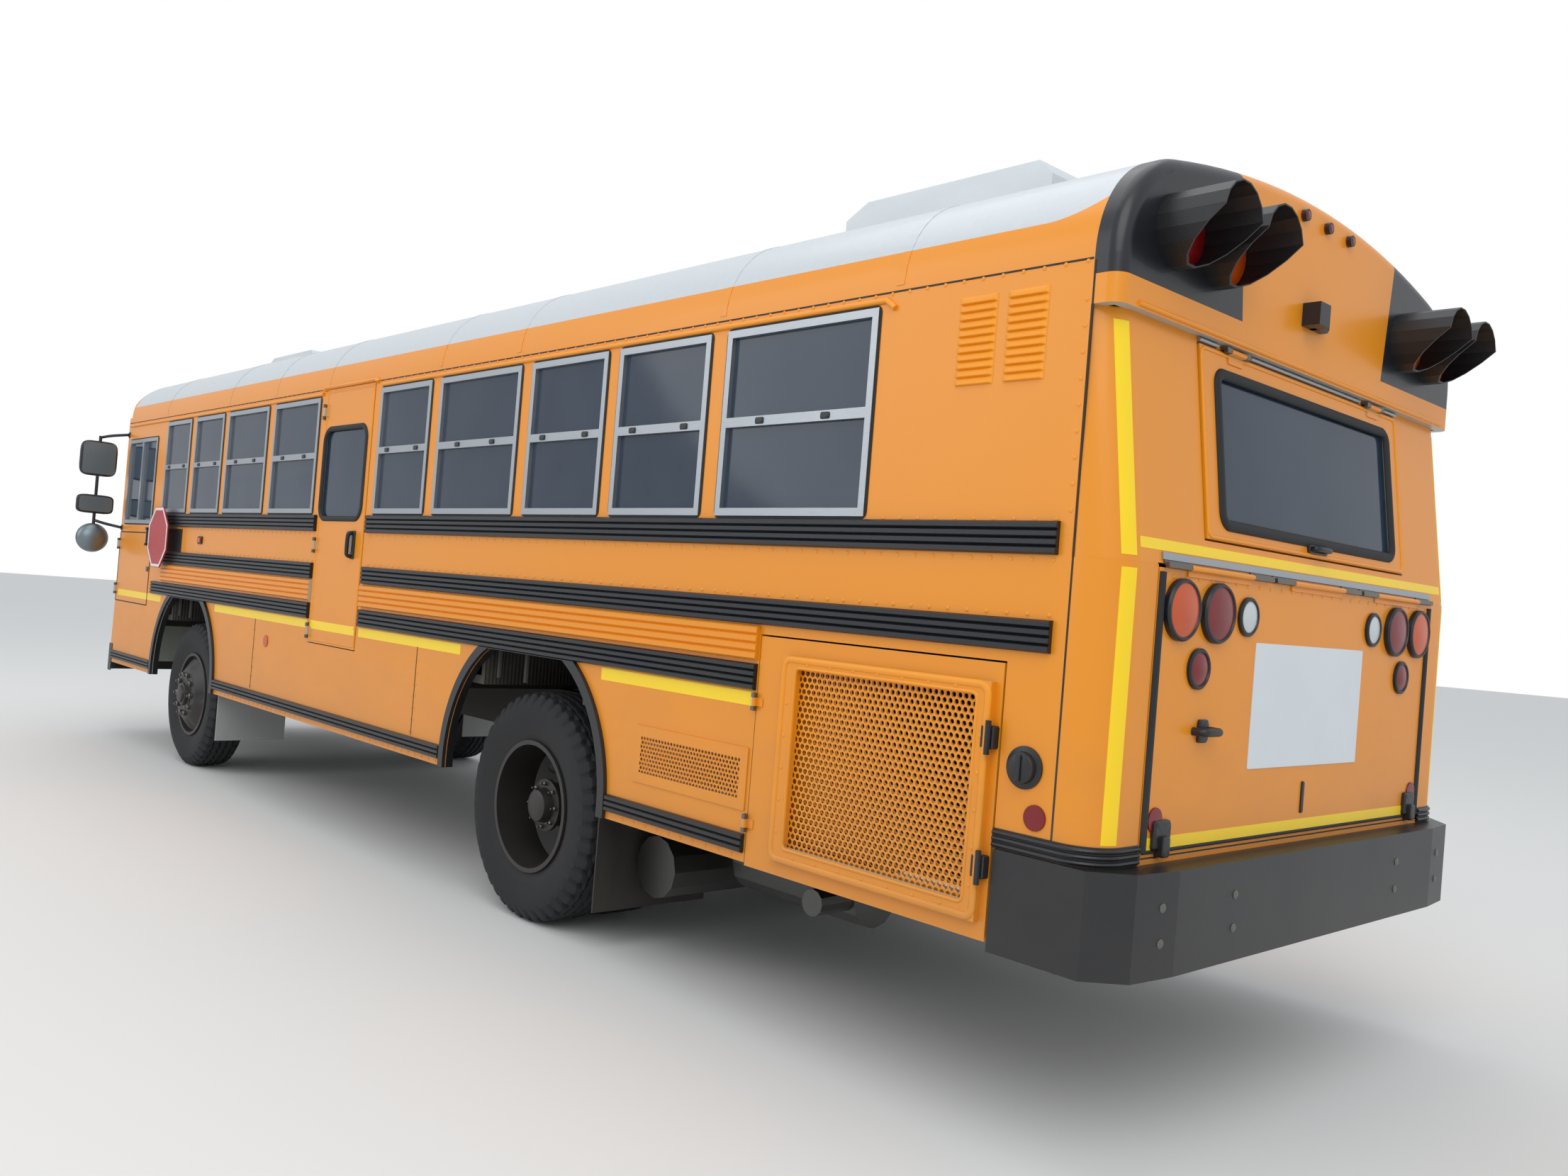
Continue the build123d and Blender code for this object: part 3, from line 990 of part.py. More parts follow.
def warning_lamp(station, y, z, toward, lens, reach):
    """A round lamp and its visor: a tube cut by a slanting plane, open at the bottom towards its tip."""
    plane = Plane(origin=(x_at(station), y, z), x_dir=(0, -toward, 0), z_dir=(toward, 0, 0))
    x = x_at(station)
    with BuildPart() as lamp:
        with BuildSketch(plane):
            RegularPolygon(HOOD_RADIUS, LAMP_SIDES, rotation=180 / LAMP_SIDES)
        extrude(amount=lens)
        with BuildSketch(plane.offset(lens)):
            RegularPolygon(HOOD_RADIUS, LAMP_SIDES, rotation=180 / LAMP_SIDES)
            RegularPolygon(HOOD_RADIUS - HOOD_WALL, LAMP_SIDES, rotation=180 / LAMP_SIDES, mode=Mode.SUBTRACT)
        extrude(amount=reach - lens)
        with BuildSketch(side_plane(y)):
            with BuildLine():
                Polyline((x + toward * (lens + 15), z - HOOD_RADIUS - 5), (x + toward * (reach + 5), z + HOOD_RADIUS * 0.2),
                         (x + toward * (reach + 5), z - HOOD_RADIUS - 5), close=True)
            make_face()
        extrude(amount=HOOD_RADIUS + 5, both=True, mode=Mode.SUBTRACT)
    return lamp.part


BROW_LAMP_STATION = NOSE - 240
with BuildPart() as warning_lamps:
    for y in LAMP_YS:
        for sign in (-1, 1):
            add(warning_lamp(BROW_LAMP_STATION, sign * y, LAMP_Z, 1, 145, 300))
    add(nose_outer, mode=Mode.SUBTRACT)
    for y in LAMP_YS:
        for sign in (-1, 1):
            add(warning_lamp(CAP_REAR, sign * y, LAMP_Z, -1, 30, CAP_REAR + HOOD_REACH))
save(warning_lamps.part, "warning_lamps")

# Small lamps: headlamps and turn signals on the nose, marker lamps on both caps, a camera at the rear
NOSE_LAMPS = [(960.0, 930.0, 90.0), (740.0, 930.0, 90.0), (860.0, 1130.0, 58.0)]
MARKER_YS = [-173.0, 0.0, 173.0]
MARKER_Z = 2950.0
FRONT_MARKER_Z = 2890.0
with BuildPart() as marker_lamps:
    for y, z, radius in NOSE_LAMPS:
        for sign in (-1, 1):
            face = NOSE - y * math.tan(VEE) - NOSE_SLOPE * (z - SKIRT_Z)
            rod((face - 60, sign * y, z), (face + 26, sign * y, z), radius, LAMP_SIDES)
    brow = NOSE - NOSE_SLOPE * (ROOF_Z + BROW_RISE - BROW_RADIUS - SKIRT_Z) - BROW_RADIUS
    brow += math.sqrt(BROW_RADIUS ** 2 - (FRONT_MARKER_Z - ROOF_Z - BROW_RISE + BROW_RADIUS) ** 2)
    for y in MARKER_YS:
        face = brow - abs(y) * math.tan(VEE)
        rod((face - 60, y, FRONT_MARKER_Z), (face + 18, y, FRONT_MARKER_Z), 22)
    add(nose_outer, mode=Mode.SUBTRACT)
    for y in MARKER_YS:
        rod((CAP_REAR, y, MARKER_Z), (CAP_REAR - 18, y, MARKER_Z), 20)
    block(CAP_REAR - 62, CAP_REAR, 55, 130, 2589, 2666)
save(marker_lamps.part, "marker_lamps")

# Black trims round the wheel arches
with BuildPart() as arch_trims:
    for axle in (REAR_AXLE, FRONT_AXLE):
        for y in (HALF + TRIM_PROUD, -HALF):
            with BuildSketch(side_plane(y)):
                add(arch_face(axle))
                offset(amount=TRIM_WIDE)
                add(arch_face(axle), mode=Mode.SUBTRACT)
                field(x_at(axle - 2 * ARCH_FOOT), x_at(axle + 2 * ARCH_FOOT), SKIRT_Z, RUB_THIRD[0], Mode.INTERSECT)
            extrude(amount=TRIM_PROUD)
save(arch_trims.part, "arch_trims")

# Roof units: bevelled boxes seated on the crown of the roof
ROOF_UNITS = [(817.0, 1853.0, 550.0, 3195.0), (7650.0, 8590.0, 460.0, 3165.0)]
UNIT_BEVEL = 60.0
with BuildPart() as roof_units:
    for s0, s1, half_y, top_z in ROOF_UNITS:
        with BuildSketch(side_plane(half_y)):
            with BuildLine():
                Polyline((x_at(s0), CANT_Z + CANT_RADIUS), (x_at(s0), top_z - UNIT_BEVEL), (x_at(s0 + UNIT_BEVEL), top_z),
                         (x_at(s1 - 2 * UNIT_BEVEL), top_z), (x_at(s1), top_z - UNIT_BEVEL),
                         (x_at(s1), CANT_Z + CANT_RADIUS), close=True)
            make_face()
        extrude(amount=2 * half_y)
    with BuildSketch(cross_plane(REAR_SEAM)):
        add(section_face(0, BELT_Z))
    extrude(amount=ROOF_END - REAR_SEAM, mode=Mode.SUBTRACT)
save(roof_units.part, "roof_units")

# Mud flaps behind the wheels, hung from the floor
FLAP_THICK = 8.0
with BuildPart() as mud_flaps:
    for station, y_in, z_low in ((REAR_AXLE - 600, 575, 175), (FRONT_AXLE - 675, 700, 266)):
        for sign in (-1, 1):
            y_pair = sorted((sign * y_in, sign * (INNER - 9)))
            block(station, station + FLAP_THICK, y_pair[0], y_pair[1], z_low, FLOOR_Z - FLOOR_THICK)
save(mud_flaps.part, "mud_flaps")

# Engine, radiator with its tray, and the tanks under the floor
ENGINE = (260.0, 1250.0, 600.0, 1450.0)
RADIATOR = (440.0, 1200.0, 1040.0, 1140.0, 1300.0)
with BuildPart() as engine_block:
    block(ENGINE[0], ENGINE[1], -RAIL_Y[0], RAIL_Y[0], ENGINE[2], ENGINE[3])
save(engine_block.part, "engine_block")
with BuildPart() as radiator:
    block(RADIATOR[0], RADIATOR[1], RADIATOR[2], RADIATOR[3], RAIL_Z[0], RADIATOR[4])
    block(RADIATOR[0], RADIATOR[1], RAIL_Y[1], RADIATOR[3], RAIL_Z[0], RAIL_Z[0] + 24)
save(radiator.part, "radiator")

TANK = (2240.0, 385.0, 130.0, -200.0, 850.0)
MUFFLER = (1300.0, 2000.0, 650.0, 440.0, 120.0)
PIPE_RADIUS = 50.0
with BuildPart() as tanks:
    s, z, r, y0, y1 = TANK
    rod((s, y0 - r, z), (s, y1 + r, z), r)
    for sign in (-1, 1):
        block(s - 20, s + 20, *sorted((sign * RAIL_Y[0], sign * RAIL_Y[1])), z, RAIL_Z[0])
    s0, s1, y, z, r = MUFFLER
    rod((s0, y, z), (s1, y, z), r)
    rod((s0 + 60, y, z), (s0 + 40, y + 300, z), PIPE_RADIUS)
    hanger = COVER_FRONT + 110
    block(hanger, hanger + 40, y - 15, y + 15, z, RAIL_Z[1])
    block(4200, 5500, -1130, -RAIL_Y[1], 600, 940)
save(tanks.part, "tanks")

# Passenger seats: benches with high backs, legs at the aisle and a rail on the wall
SEAT_PITCH = 715.0
SEAT_FIRST = COVER_FRONT + 130
SEAT_AISLE = 200.0
SEAT_ROWS = 10
DOORWAY = (DOOR_SPAN[0], DOOR_SPAN[1] + 140)


def bench(station, sign):
    """One bench: cushion and leaning back as one outline, with a leg plate at the aisle."""
    x = x_at(station)
    y_outer = INNER if sign > 0 else -SEAT_AISLE
    with BuildPart() as seat:
        with BuildSketch(side_plane(y_outer)):
            with BuildLine():
                Polyline((x + 400, FLOOR_Z + 330), (x + 400, FLOOR_Z + 430), (x + 40, FLOOR_Z + 440), (x - 40, FLOOR_Z + 1060),
                         (x - 115, FLOOR_Z + 1060), (x - 60, FLOOR_Z + 330), close=True)
            make_face()
        extrude(amount=INNER - SEAT_AISLE)
        leg = sorted((sign * SEAT_AISLE, sign * (SEAT_AISLE + 30)))
        block(station + 40, station + 320, leg[0], leg[1], FLOOR_Z, FLOOR_Z + 330)
    return seat.part


left_rows = [SEAT_FIRST + i * SEAT_PITCH for i in range(SEAT_ROWS)]
left_rows = [s for s in left_rows if s + 400 < DOORWAY[0]]
left_rows += [DOORWAY[1] + i * SEAT_PITCH for i in range(SEAT_ROWS) if DOORWAY[1] + i * SEAT_PITCH + 500 < DRIVER_START]
right_rows = [SEAT_FIRST + i * SEAT_PITCH for i in range(SEAT_ROWS)]
right_rows = [s for s in right_rows if s + 450 < ENTRANCE_SPAN[0]]
DRIVER_Y = 640.0
DRIVER_SEAT = 8700.0
with BuildPart() as seats:
    for s in left_rows:
        add(bench(s, 1))
    for s in right_rows:
        add(bench(s, -1))
    x = x_at(DRIVER_SEAT)
    with BuildSketch(side_plane(DRIVER_Y + 240)):
        with BuildLine():
            Polyline((x + 440, FLOOR_Z + 360), (x + 440, FLOOR_Z + 450), (x + 40, FLOOR_Z + 450), (x - 60, FLOOR_Z + 1150),
                     (x - 150, FLOOR_Z + 1150), (x - 60, FLOOR_Z + 360), close=True)
        make_face()
    extrude(amount=480)
    block(DRIVER_SEAT + 60, DRIVER_SEAT + 340, DRIVER_Y - 130, DRIVER_Y + 130, FLOOR_Z, FLOOR_Z + 360)
save(seats.part, "seats")

# Dash across the front with the steering column and wheel
COLUMN_FOOT = (9400.0, DRIVER_Y, 1490.0)
WHEEL_AT = (9210.0, DRIVER_Y, 1740.0)
STEERING_RADIUS = 230.0
STEERING_SIDES = 20
with BuildPart() as dash:
    with BuildSketch(side_plane(INNER)):
        with BuildLine():
            Polyline((x_at(9300), FLOOR_Z), (x_at(9300), 1420), (x_at(9400), 1530), (x_at(FRONT_SEAM), 1530),
                     (x_at(FRONT_SEAM), FLOOR_Z), close=True)
        make_face()
    extrude(amount=INNER + 250)
    lean_axis = Vector(WHEEL_AT[0] - COLUMN_FOOT[0], 0, WHEEL_AT[2] - COLUMN_FOOT[2]).normalized()
    with BuildSketch(Plane(origin=(x_at(WHEEL_AT[0]), WHEEL_AT[1], WHEEL_AT[2]), x_dir=(0, 1, 0), z_dir=lean_axis)):
        RegularPolygon(STEERING_RADIUS, STEERING_SIDES)
        RegularPolygon(STEERING_RADIUS - 28, STEERING_SIDES, mode=Mode.SUBTRACT)
        Rectangle(2 * STEERING_RADIUS - 40, 34)
    extrude(amount=13, both=True)
    rod(COLUMN_FOOT, WHEEL_AT, 24, 8)
save(dash.part, "dash")

# Mirrors on tube arms that stand on pads at both front corners: two flat glasses over a domed one
MIRROR_Y = 1400.0
MIRROR_STATION = 9600.0
ARM_RADIUS = 13.0
PAD_STATION = (9438.0, 9474.0)
PAD_THICK = 8.0
MIRROR_GLASSES = [(2110, 2400), (1800, 1955)]
CROSS_VIEW = [(-70, 0), (-58, 60), (-25, 105), (10, 120), (50, 120), (50, 0)]
with BuildPart() as mirrors:
    for sign in (-1, 1):
        y = sign * MIRROR_Y
        for root_z, arm_z, radius in ((2470, 2430, ARM_RADIUS), (1702, 1745, ARM_RADIUS - 2)):
            pad_y = sorted((sign * HALF, sign * (HALF + PAD_THICK)))
            block(*PAD_STATION, *pad_y, root_z - 22, root_z + 22)
            rod((sum(PAD_STATION) / 2, sign * (HALF + ARM_RADIUS), root_z), (MIRROR_STATION, y, arm_z), radius, PIN_SIDES)
        rod((MIRROR_STATION, y, 1560), (MIRROR_STATION, y, 2445), ARM_RADIUS, PIN_SIDES)
        for z0, z1 in MIRROR_GLASSES:
            block(MIRROR_STATION - 20, MIRROR_STATION + 40, y - 140, y + 140, z0, z1)
        add(facet_ring((x_at(MIRROR_STATION), y, 1600), (1, 0, 0), CROSS_VIEW, HUB_SIDES))
save(mirrors.part, "mirrors")
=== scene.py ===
import math

import bmesh
import bpy
import numpy as np
from mathutils import Matrix, Vector


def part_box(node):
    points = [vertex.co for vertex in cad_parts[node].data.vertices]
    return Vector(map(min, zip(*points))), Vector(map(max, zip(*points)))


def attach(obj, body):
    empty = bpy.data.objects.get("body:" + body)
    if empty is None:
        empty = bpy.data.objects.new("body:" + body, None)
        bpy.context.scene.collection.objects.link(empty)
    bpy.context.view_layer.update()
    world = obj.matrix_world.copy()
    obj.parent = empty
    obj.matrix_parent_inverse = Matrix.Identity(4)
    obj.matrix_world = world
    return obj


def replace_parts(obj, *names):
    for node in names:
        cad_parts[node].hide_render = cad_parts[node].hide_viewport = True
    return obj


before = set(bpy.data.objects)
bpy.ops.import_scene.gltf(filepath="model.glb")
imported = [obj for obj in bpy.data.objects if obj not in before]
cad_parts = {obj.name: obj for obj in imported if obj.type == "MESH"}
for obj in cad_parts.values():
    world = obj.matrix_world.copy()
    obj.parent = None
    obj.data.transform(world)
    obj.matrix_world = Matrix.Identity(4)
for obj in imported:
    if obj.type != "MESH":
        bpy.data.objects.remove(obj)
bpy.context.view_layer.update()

bl_info = {
    "name": "School bus dressing",
    "version": (1, 0, 0),
    "blender": (4, 5, 0),
    "location": "3D View > Sidebar > School bus",
    "description": "Adds tyres, lamps, grilles, rivets, trim and finishes to the packed school bus frame",
    "category": "Object",
}

# Places measured on the frame, in metres. Lengthwise places are stations ahead of the engine door's face.
TAIL_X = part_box("rear_wall")[0].x
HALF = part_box("window_band_left")[1].y
NOSE_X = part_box("front_panel")[1].x
ROOF_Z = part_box("roof")[1].z
CAP_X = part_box("rear_cap")[0].x
FLOOR_Z = 1.062
SKIN_TOP_Z = 2.576
CANT_RADIUS = 0.35
CORNER_Y = HALF - CANT_RADIUS
CROWN_RISE = ROOF_Z - SKIN_TOP_Z
CROWN_RADIUS = (CORNER_Y ** 2 + CROWN_RISE ** 2 - CANT_RADIUS ** 2) / (2 * (CROWN_RISE - CANT_RADIUS))
CROWN_Z = ROOF_Z - CROWN_RADIUS
CROWN_HALF_ANGLE = math.atan2(CORNER_Y, SKIN_TOP_Z - CROWN_Z)
REAR_SLOPE = 0.126
HINGE_LINE_Z = 1.718
REAR_STEP = 0.0015
REAR_CORNER = 0.12
NOSE_VEE = math.radians(4.7)
NOSE_SLOPE = 0.04
SKIRT_Z = 0.592
FRONT_SEAM = 9.48
DOOR_SPAN = (4.790, 5.446)
WINDOW_SILL_Z = 1.829
WINDOW_HEAD_Z = 2.521

# The camera's place and view, fitted to the photograph's edges
CAMERA_AT = (-6.7087, 4.1975, 1.5294)
CAMERA_RIGHT = (-0.67567852, -0.73290184, 0.07945707)
CAMERA_DOWN = (-0.04613018, -0.06553716, -0.99678327)
CAMERA_FORWARD = (0.73575169, -0.67717041, 0.01047316)
FOCAL_PIXELS = 1768.4
PHOTO_WIDTH = 2212
SENSOR_WIDTH = 36.0
CLIP_END = 200.0


def at(station):
    """The frame's X of a station."""
    return TAIL_X + station


def tone(red, green, blue):
    """A colour written as screen values from 0 to 255, as the linear values that shaders use."""
    values = np.array([red, green, blue]) / 255
    linear = np.where(values <= 0.04045, values / 12.92, ((values + 0.055) / 1.055) ** 2.4)
    return tuple(float(v) for v in linear)


# Shader maths
NOISE_ROUGHNESS = 0.55
LENS_PITCH = 0.006
FLOOR_RIB = 0.02


class Value:
    """A node socket that adds a Math node for each operator used on it."""

    def __init__(self, sheet, socket):
        self.sheet = sheet
        self.socket = socket

    def math(self, operation, *others, clamp=False):
        settings = {"operation": operation, "use_clamp": clamp}
        values = dict(enumerate((self, *others)))
        return self.sheet.node("ShaderNodeMath", settings, values)

    def __add__(self, other):
        return self.math("ADD", other)

    def __radd__(self, other):
        return self.math("ADD", other)

    def __sub__(self, other):
        return self.math("SUBTRACT", other)

    def __rsub__(self, other):
        return (self * -1.0) + other

    def __mul__(self, other):
        return self.math("MULTIPLY", other)

    def __rmul__(self, other):
        return self.math("MULTIPLY", other)

    def __truediv__(self, other):
        return self.math("DIVIDE", other)

    def __abs__(self):
        return self.math("ABSOLUTE")

    def __mod__(self, other):
        return self.math("FLOORED_MODULO", other)

    def above(self, level):
        """1 where the value is over the level, else 0."""
        return self.math("GREATER_THAN", level)

    def below(self, level):
        return 1.0 - self.above(level)

    def most(self, other):
        return self.math("MAXIMUM", other)

    def root(self):
        return self.math("SQRT")

    def clamped(self):
        return self.math("ADD", 0.0, clamp=True)


class Sheet:
    """One material: a Principled shader and the nodes that vary its finish over the surface."""

    def __init__(self, name, metallic=0.0, coat=0.0):
        self.material = bpy.data.materials.new(name)
        self.material.use_nodes = True
        self.tree = self.material.node_tree
        self.shader = self.tree.nodes["Principled BSDF"]
        self.set("Metallic", metallic)
        self.set("Coat Weight", coat)
        self.set("Coat Roughness", 0.08)
        self.place = self.node("ShaderNodeTexCoord", {}, {}, "Object")

    def put(self, socket, value):
        """Links a value to a socket, or sets the socket to a number, a vector or a colour."""
        if isinstance(value, Value):
            self.tree.links.new(value.socket, socket)
        elif hasattr(value, "__len__"):
            socket.default_value = (*value, 1.0)[:len(socket.default_value)]
        else:
            socket.default_value = value

    def node(self, kind, settings, values, output=0):
        """Adds a node: its settings first, then the values or links of its sockets; returns one output."""
        made = self.tree.nodes.new(kind)
        for key, value in settings.items():
            setattr(made, key, value)
        for key, value in values.items():
            self.put(made.inputs[key], value)
        return Value(self, made.outputs[output])

    def set(self, name, value):
        """Sets one socket of the shader to a constant or a link."""
        self.put(self.shader.inputs[name], value)

    def axes(self, source=None):
        """X, Y and Z of a vector, which is the object's own coordinates unless another is given."""
        return [self.node("ShaderNodeSeparateXYZ", {}, {0: source or self.place}, i) for i in range(3)]

    def noise(self, scale, detail=3.0, stretch=None):
        """Fractal noise from 0 to 1 on object coordinates; stretch scales the three axes first."""
        where = self.place
        if stretch:
            where = self.node("ShaderNodeMapping", {}, {"Vector": self.place, "Scale": stretch})
        values = {"Vector": where, "Scale": scale, "Detail": detail, "Roughness": NOISE_ROUGHNESS}
        return self.node("ShaderNodeTexNoise", {}, values, "Fac")

    def mix(self, share, first, second):
        """The colour first where share is 0 and second where it is 1."""
        kind = {"data_type": "RGBA"}
        return self.node("ShaderNodeMix", kind, {"Factor": share, 6: first, 7: second}, 2)

    def finish(self, colour, roughness, height=None, depth=0.0):
        """Feeds the shader's colour, roughness and, from a height field, its normal; returns the material."""
        self.set("Base Color", colour)
        self.set("Roughness", roughness)
        if height:
            bump = {"Height": height, "Distance": depth, "Strength": 1.0}
            self.set("Normal", self.node("ShaderNodeBump", {}, bump))
        return self.material


def dust(sheet, low, reach):
    """A share from 0 to 1 that grows towards the ground, broken up by noise: road dust on the lower parts."""
    height = sheet.axes()[2]
    patch = sheet.noise(3.0, 5.0, (1.0, 1.0, 2.4))
    return ((low + reach - height) / reach * 0.75 + (patch - 0.5) * 0.8).clamped()


def ribs(value, pitch):
    """The distance from the middle of each pitch along a value, as a share of the pitch from 0 to 0.5."""
    return abs((value * (1 / pitch)) % 1.0 - 0.5)


# Surfaces. The sinks are how far a shape's foot lies inside the skin that it sits on.
SECTION_SINK = 0.004
PLATE_SINK = 0.002
RELIEF_SINK = 0.003
BEAD_STEPS = 7


def merge(parts):
    """Joins (vertices, quads) pairs into one pair, shifting each one's indices by the vertices before it."""
    counts = np.cumsum([0] + [len(v) for v, _ in parts[:-1]])
    return np.concatenate([v for v, _ in parts]), np.concatenate([q + n for (_, q), n in zip(parts, counts)])


def lattice(points, around=False):
    """Quads between neighbours of a grid of points (rows, columns, 3); around joins the last row to the first."""
    rows, columns = points.shape[:2]
    index = np.arange(rows * columns).reshape(rows, columns)
    below = np.roll(index, -1, 0) if around else index[1:]
    above = index if around else index[:-1]
    quads = np.stack([above[:, :-1], above[:, 1:], below[:, 1:], below[:, :-1]], -1).reshape(-1, 4)
    return points.reshape(-1, 3), quads


def tube(points):
    """Quads of a grid whose columns are closed loops, with both end loops drawn in to their centres."""
    first, last = (end.mean(1, keepdims=True) + 0 * end for end in (points[:1], points[-1:]))
    full = np.concatenate([first, points, last], 0)
    return lattice(np.concatenate([full, full[:, :1]], 1))


# Finishes by name, filled by the first operator
finishes = {}


def mesh_of(name, shape):
    """A mesh from (vertices, quads), with its doubles merged and its faces outward."""
    vertices, quads = shape
    mesh = bpy.data.meshes.new(name)
    mesh.vertices.add(len(vertices))
    mesh.vertices.foreach_set("co", np.ascontiguousarray(vertices, np.float32).ravel())
    mesh.loops.add(quads.size)
    mesh.loops.foreach_set("vertex_index", quads.astype(np.int32).ravel())
    mesh.polygons.add(len(quads))
    mesh.polygons.foreach_set("loop_start", np.arange(0, quads.size, quads.shape[1], dtype=np.int32))
    mesh.update(calc_edges=True)
    mesh.validate()
    work = bmesh.new()
    work.from_mesh(mesh)
    bmesh.ops.remove_doubles(work, verts=work.verts, dist=1e-5)
    bmesh.ops.dissolve_degenerate(work, edges=work.edges, dist=1e-6)
    bmesh.ops.recalc_face_normals(work, faces=work.faces)
    work.to_mesh(mesh)
    work.free()
    return mesh


def piece(name, shape, body, finish, smooth=True, angle=40.0):
    """Makes one closed piece from (vertices, quads), or a list of them, riding on a body, with the named finish's
    material."""
    mesh = mesh_of(name, merge(shape) if isinstance(shape, list) else shape)
    if smooth:
        mesh.shade_smooth()
        mesh.set_sharp_from_angle(angle=math.radians(angle))
    else:
        mesh.shade_flat()
    mesh.materials.append(finishes[finish])
    made = bpy.data.objects.new(name, mesh)
    bpy.context.scene.collection.objects.link(made)
    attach(made, body)
    return made


def on_flank(sign):
    """Places on the left (1) or right (-1) flank: u is a station, v a height, h the distance out of the skin."""
    return lambda u, v, h: np.stack([at(u), sign * (HALF + h) + 0 * u, v + 0 * u], -1)


def on_tail(u, v, h):
    """Places on the rear wall: u is Y, v a height; the wall leans forward above the hinge line, and its corners
    turn forward by r - sqrt(r^2 - (|u| - corner start)^2)."""
    lean = np.where(v > HINGE_LINE_Z, REAR_STEP + (v - HINGE_LINE_Z) * REAR_SLOPE, 0.0)
    past = np.clip(np.abs(u) - (HALF - REAR_CORNER), 0, REAR_CORNER * 0.98)
    lean = lean + REAR_CORNER - np.sqrt(REAR_CORNER ** 2 - past ** 2)
    return np.stack([TAIL_X + lean - h + 0 * u, u + 0 * v, v + 0 * u], -1)


def on_corner(sign):
    """Places round a rear corner: u is the distance along the plan outline, below 0 on the flank, then through a
    quarter circle of radius r, then across the tail."""

    def place(u, v, h):
        turn = np.clip(u / REAR_CORNER, 0, math.pi / 2)
        across = np.maximum(u - REAR_CORNER * math.pi / 2, 0)
        x = TAIL_X + REAR_CORNER - (REAR_CORNER + h) * np.sin(turn) - np.minimum(u, 0)
        y = HALF - REAR_CORNER + (REAR_CORNER + h) * np.cos(turn) - across
        return np.stack([x + 0 * v, sign * y + 0 * v, v + 0 * u], -1)

    return place


def on_upright(x):
    """Places on an upright face across the tail, at one X: u is Y, v a height."""
    return lambda u, v, h: np.stack([x - h + 0 * u + 0 * v, u + 0 * v, v + 0 * u], -1)


def on_nose(u, v, h):
    """Places on the nose: u is Y, v a height; it falls back from its middle in a shallow vee and leans back."""
    back = np.abs(u) * math.tan(NOSE_VEE) + (v - SKIRT_Z) * NOSE_SLOPE
    return np.stack([NOSE_X - back + h / math.cos(NOSE_VEE), u + 0 * v, v + 0 * u], -1)


def on_roof(u, v, h):
    """Places on the roof and the flanks below it: u is a station, v the distance along the section from its crown.
    The section is the crown's arc, then the cant rail's arc, then straight down."""
    side, run = np.sign(v), np.abs(v)
    crown_run = CROWN_RADIUS * CROWN_HALF_ANGLE
    turn = np.minimum(run / CROWN_RADIUS, CROWN_HALF_ANGLE)
    bend = np.clip((run - crown_run) / CANT_RADIUS, 0, math.pi / 2 - CROWN_HALF_ANGLE) + CROWN_HALF_ANGLE
    down = np.maximum(run - crown_run - CANT_RADIUS * (math.pi / 2 - CROWN_HALF_ANGLE), 0)
    crown, crown_r, cant_r = run <= crown_run, CROWN_RADIUS + h, CANT_RADIUS + h
    y = np.where(crown, crown_r * np.sin(turn), CORNER_Y + cant_r * np.sin(bend))
    z = np.where(crown, CROWN_Z + crown_r * np.cos(turn), SKIN_TOP_Z + cant_r * np.cos(bend) - down)
    return np.stack([at(u) + 0 * y, side * y, z], -1)


def raised(place, lift):
    """The same places, lifted out of their surface."""
    return lambda u, v, h: place(u, v, h + lift)


def spot(place, u, v, h):
    """One place as a single point."""
    return place(np.array([u]), np.array([v]), np.array([h]))[0]


def laid(points, place):
    """Points (u, v, h) laid on a surface."""
    return place(points[:, 0], points[:, 1], points[:, 2])


def row(run, level):
    """Flat points along u at one v."""
    return np.stack([run, np.full_like(run, level)], -1)


def column(station, run):
    """Flat points along v at one u."""
    return row(run, station)[:, ::-1]


def around(u, v, half_u, half_v):
    """A box (u0, u1, v0, v1) by its middle."""
    return u - half_u, u + half_u, v - half_v, v + half_v


def strip(path, section, place, closed=False):
    """A section of (across, out) points carried along a flat path of (u, v) points, mitred at its corners, and
    laid on a surface by place. Each ring is path + across * normal, lifted by out."""
    path = np.asarray(path, float)
    section = np.asarray(section, float)
    if closed:
        before, after = np.roll(path, 1, 0), np.roll(path, -1, 0)
    else:
        before = np.concatenate([path[:1] * 2 - path[1:2], path[:-1]])
        after = np.concatenate([path[1:], path[-1:] * 2 - path[-2:-1]])
    into = (path - before) / np.linalg.norm(path - before, axis=1, keepdims=True)
    out = (after - path) / np.linalg.norm(after - path, axis=1, keepdims=True)
    normal = np.stack([-(into + out)[:, 1], (into + out)[:, 0]], -1)
    normal /= np.linalg.norm(normal, axis=1, keepdims=True)
    mitre = 1 / np.maximum((normal * np.stack([-into[:, 1], into[:, 0]], -1)).sum(1), 0.4)
    flat = path[:, None] + (normal * mitre[:, None])[:, None] * section[None, :, :1]
    rings = place(flat[..., 0], flat[..., 1], section[None, :, 1] + 0 * flat[..., 0])
    if closed:
        return lattice(np.concatenate([rings, rings[:, :1]], 1), around=True)
    return tube(rings)


def rounded(u0, u1, v0, v1, radius, steps=6):
    """The outline of a rectangle with quarter-circle corners."""
    quarter = math.pi / 2
    turns = np.linspace(0, quarter, steps)
    corners = [(u1 - radius, v1 - radius), (u0 + radius, v1 - radius), (u0 + radius, v0 + radius),
               (u1 - radius, v0 + radius)]
    arcs = [(u + radius * np.cos(turns + i * quarter), v + radius * np.sin(turns + i * quarter))
            for i, (u, v) in enumerate(corners)]
    return np.concatenate([np.stack(arc, -1) for arc in arcs])


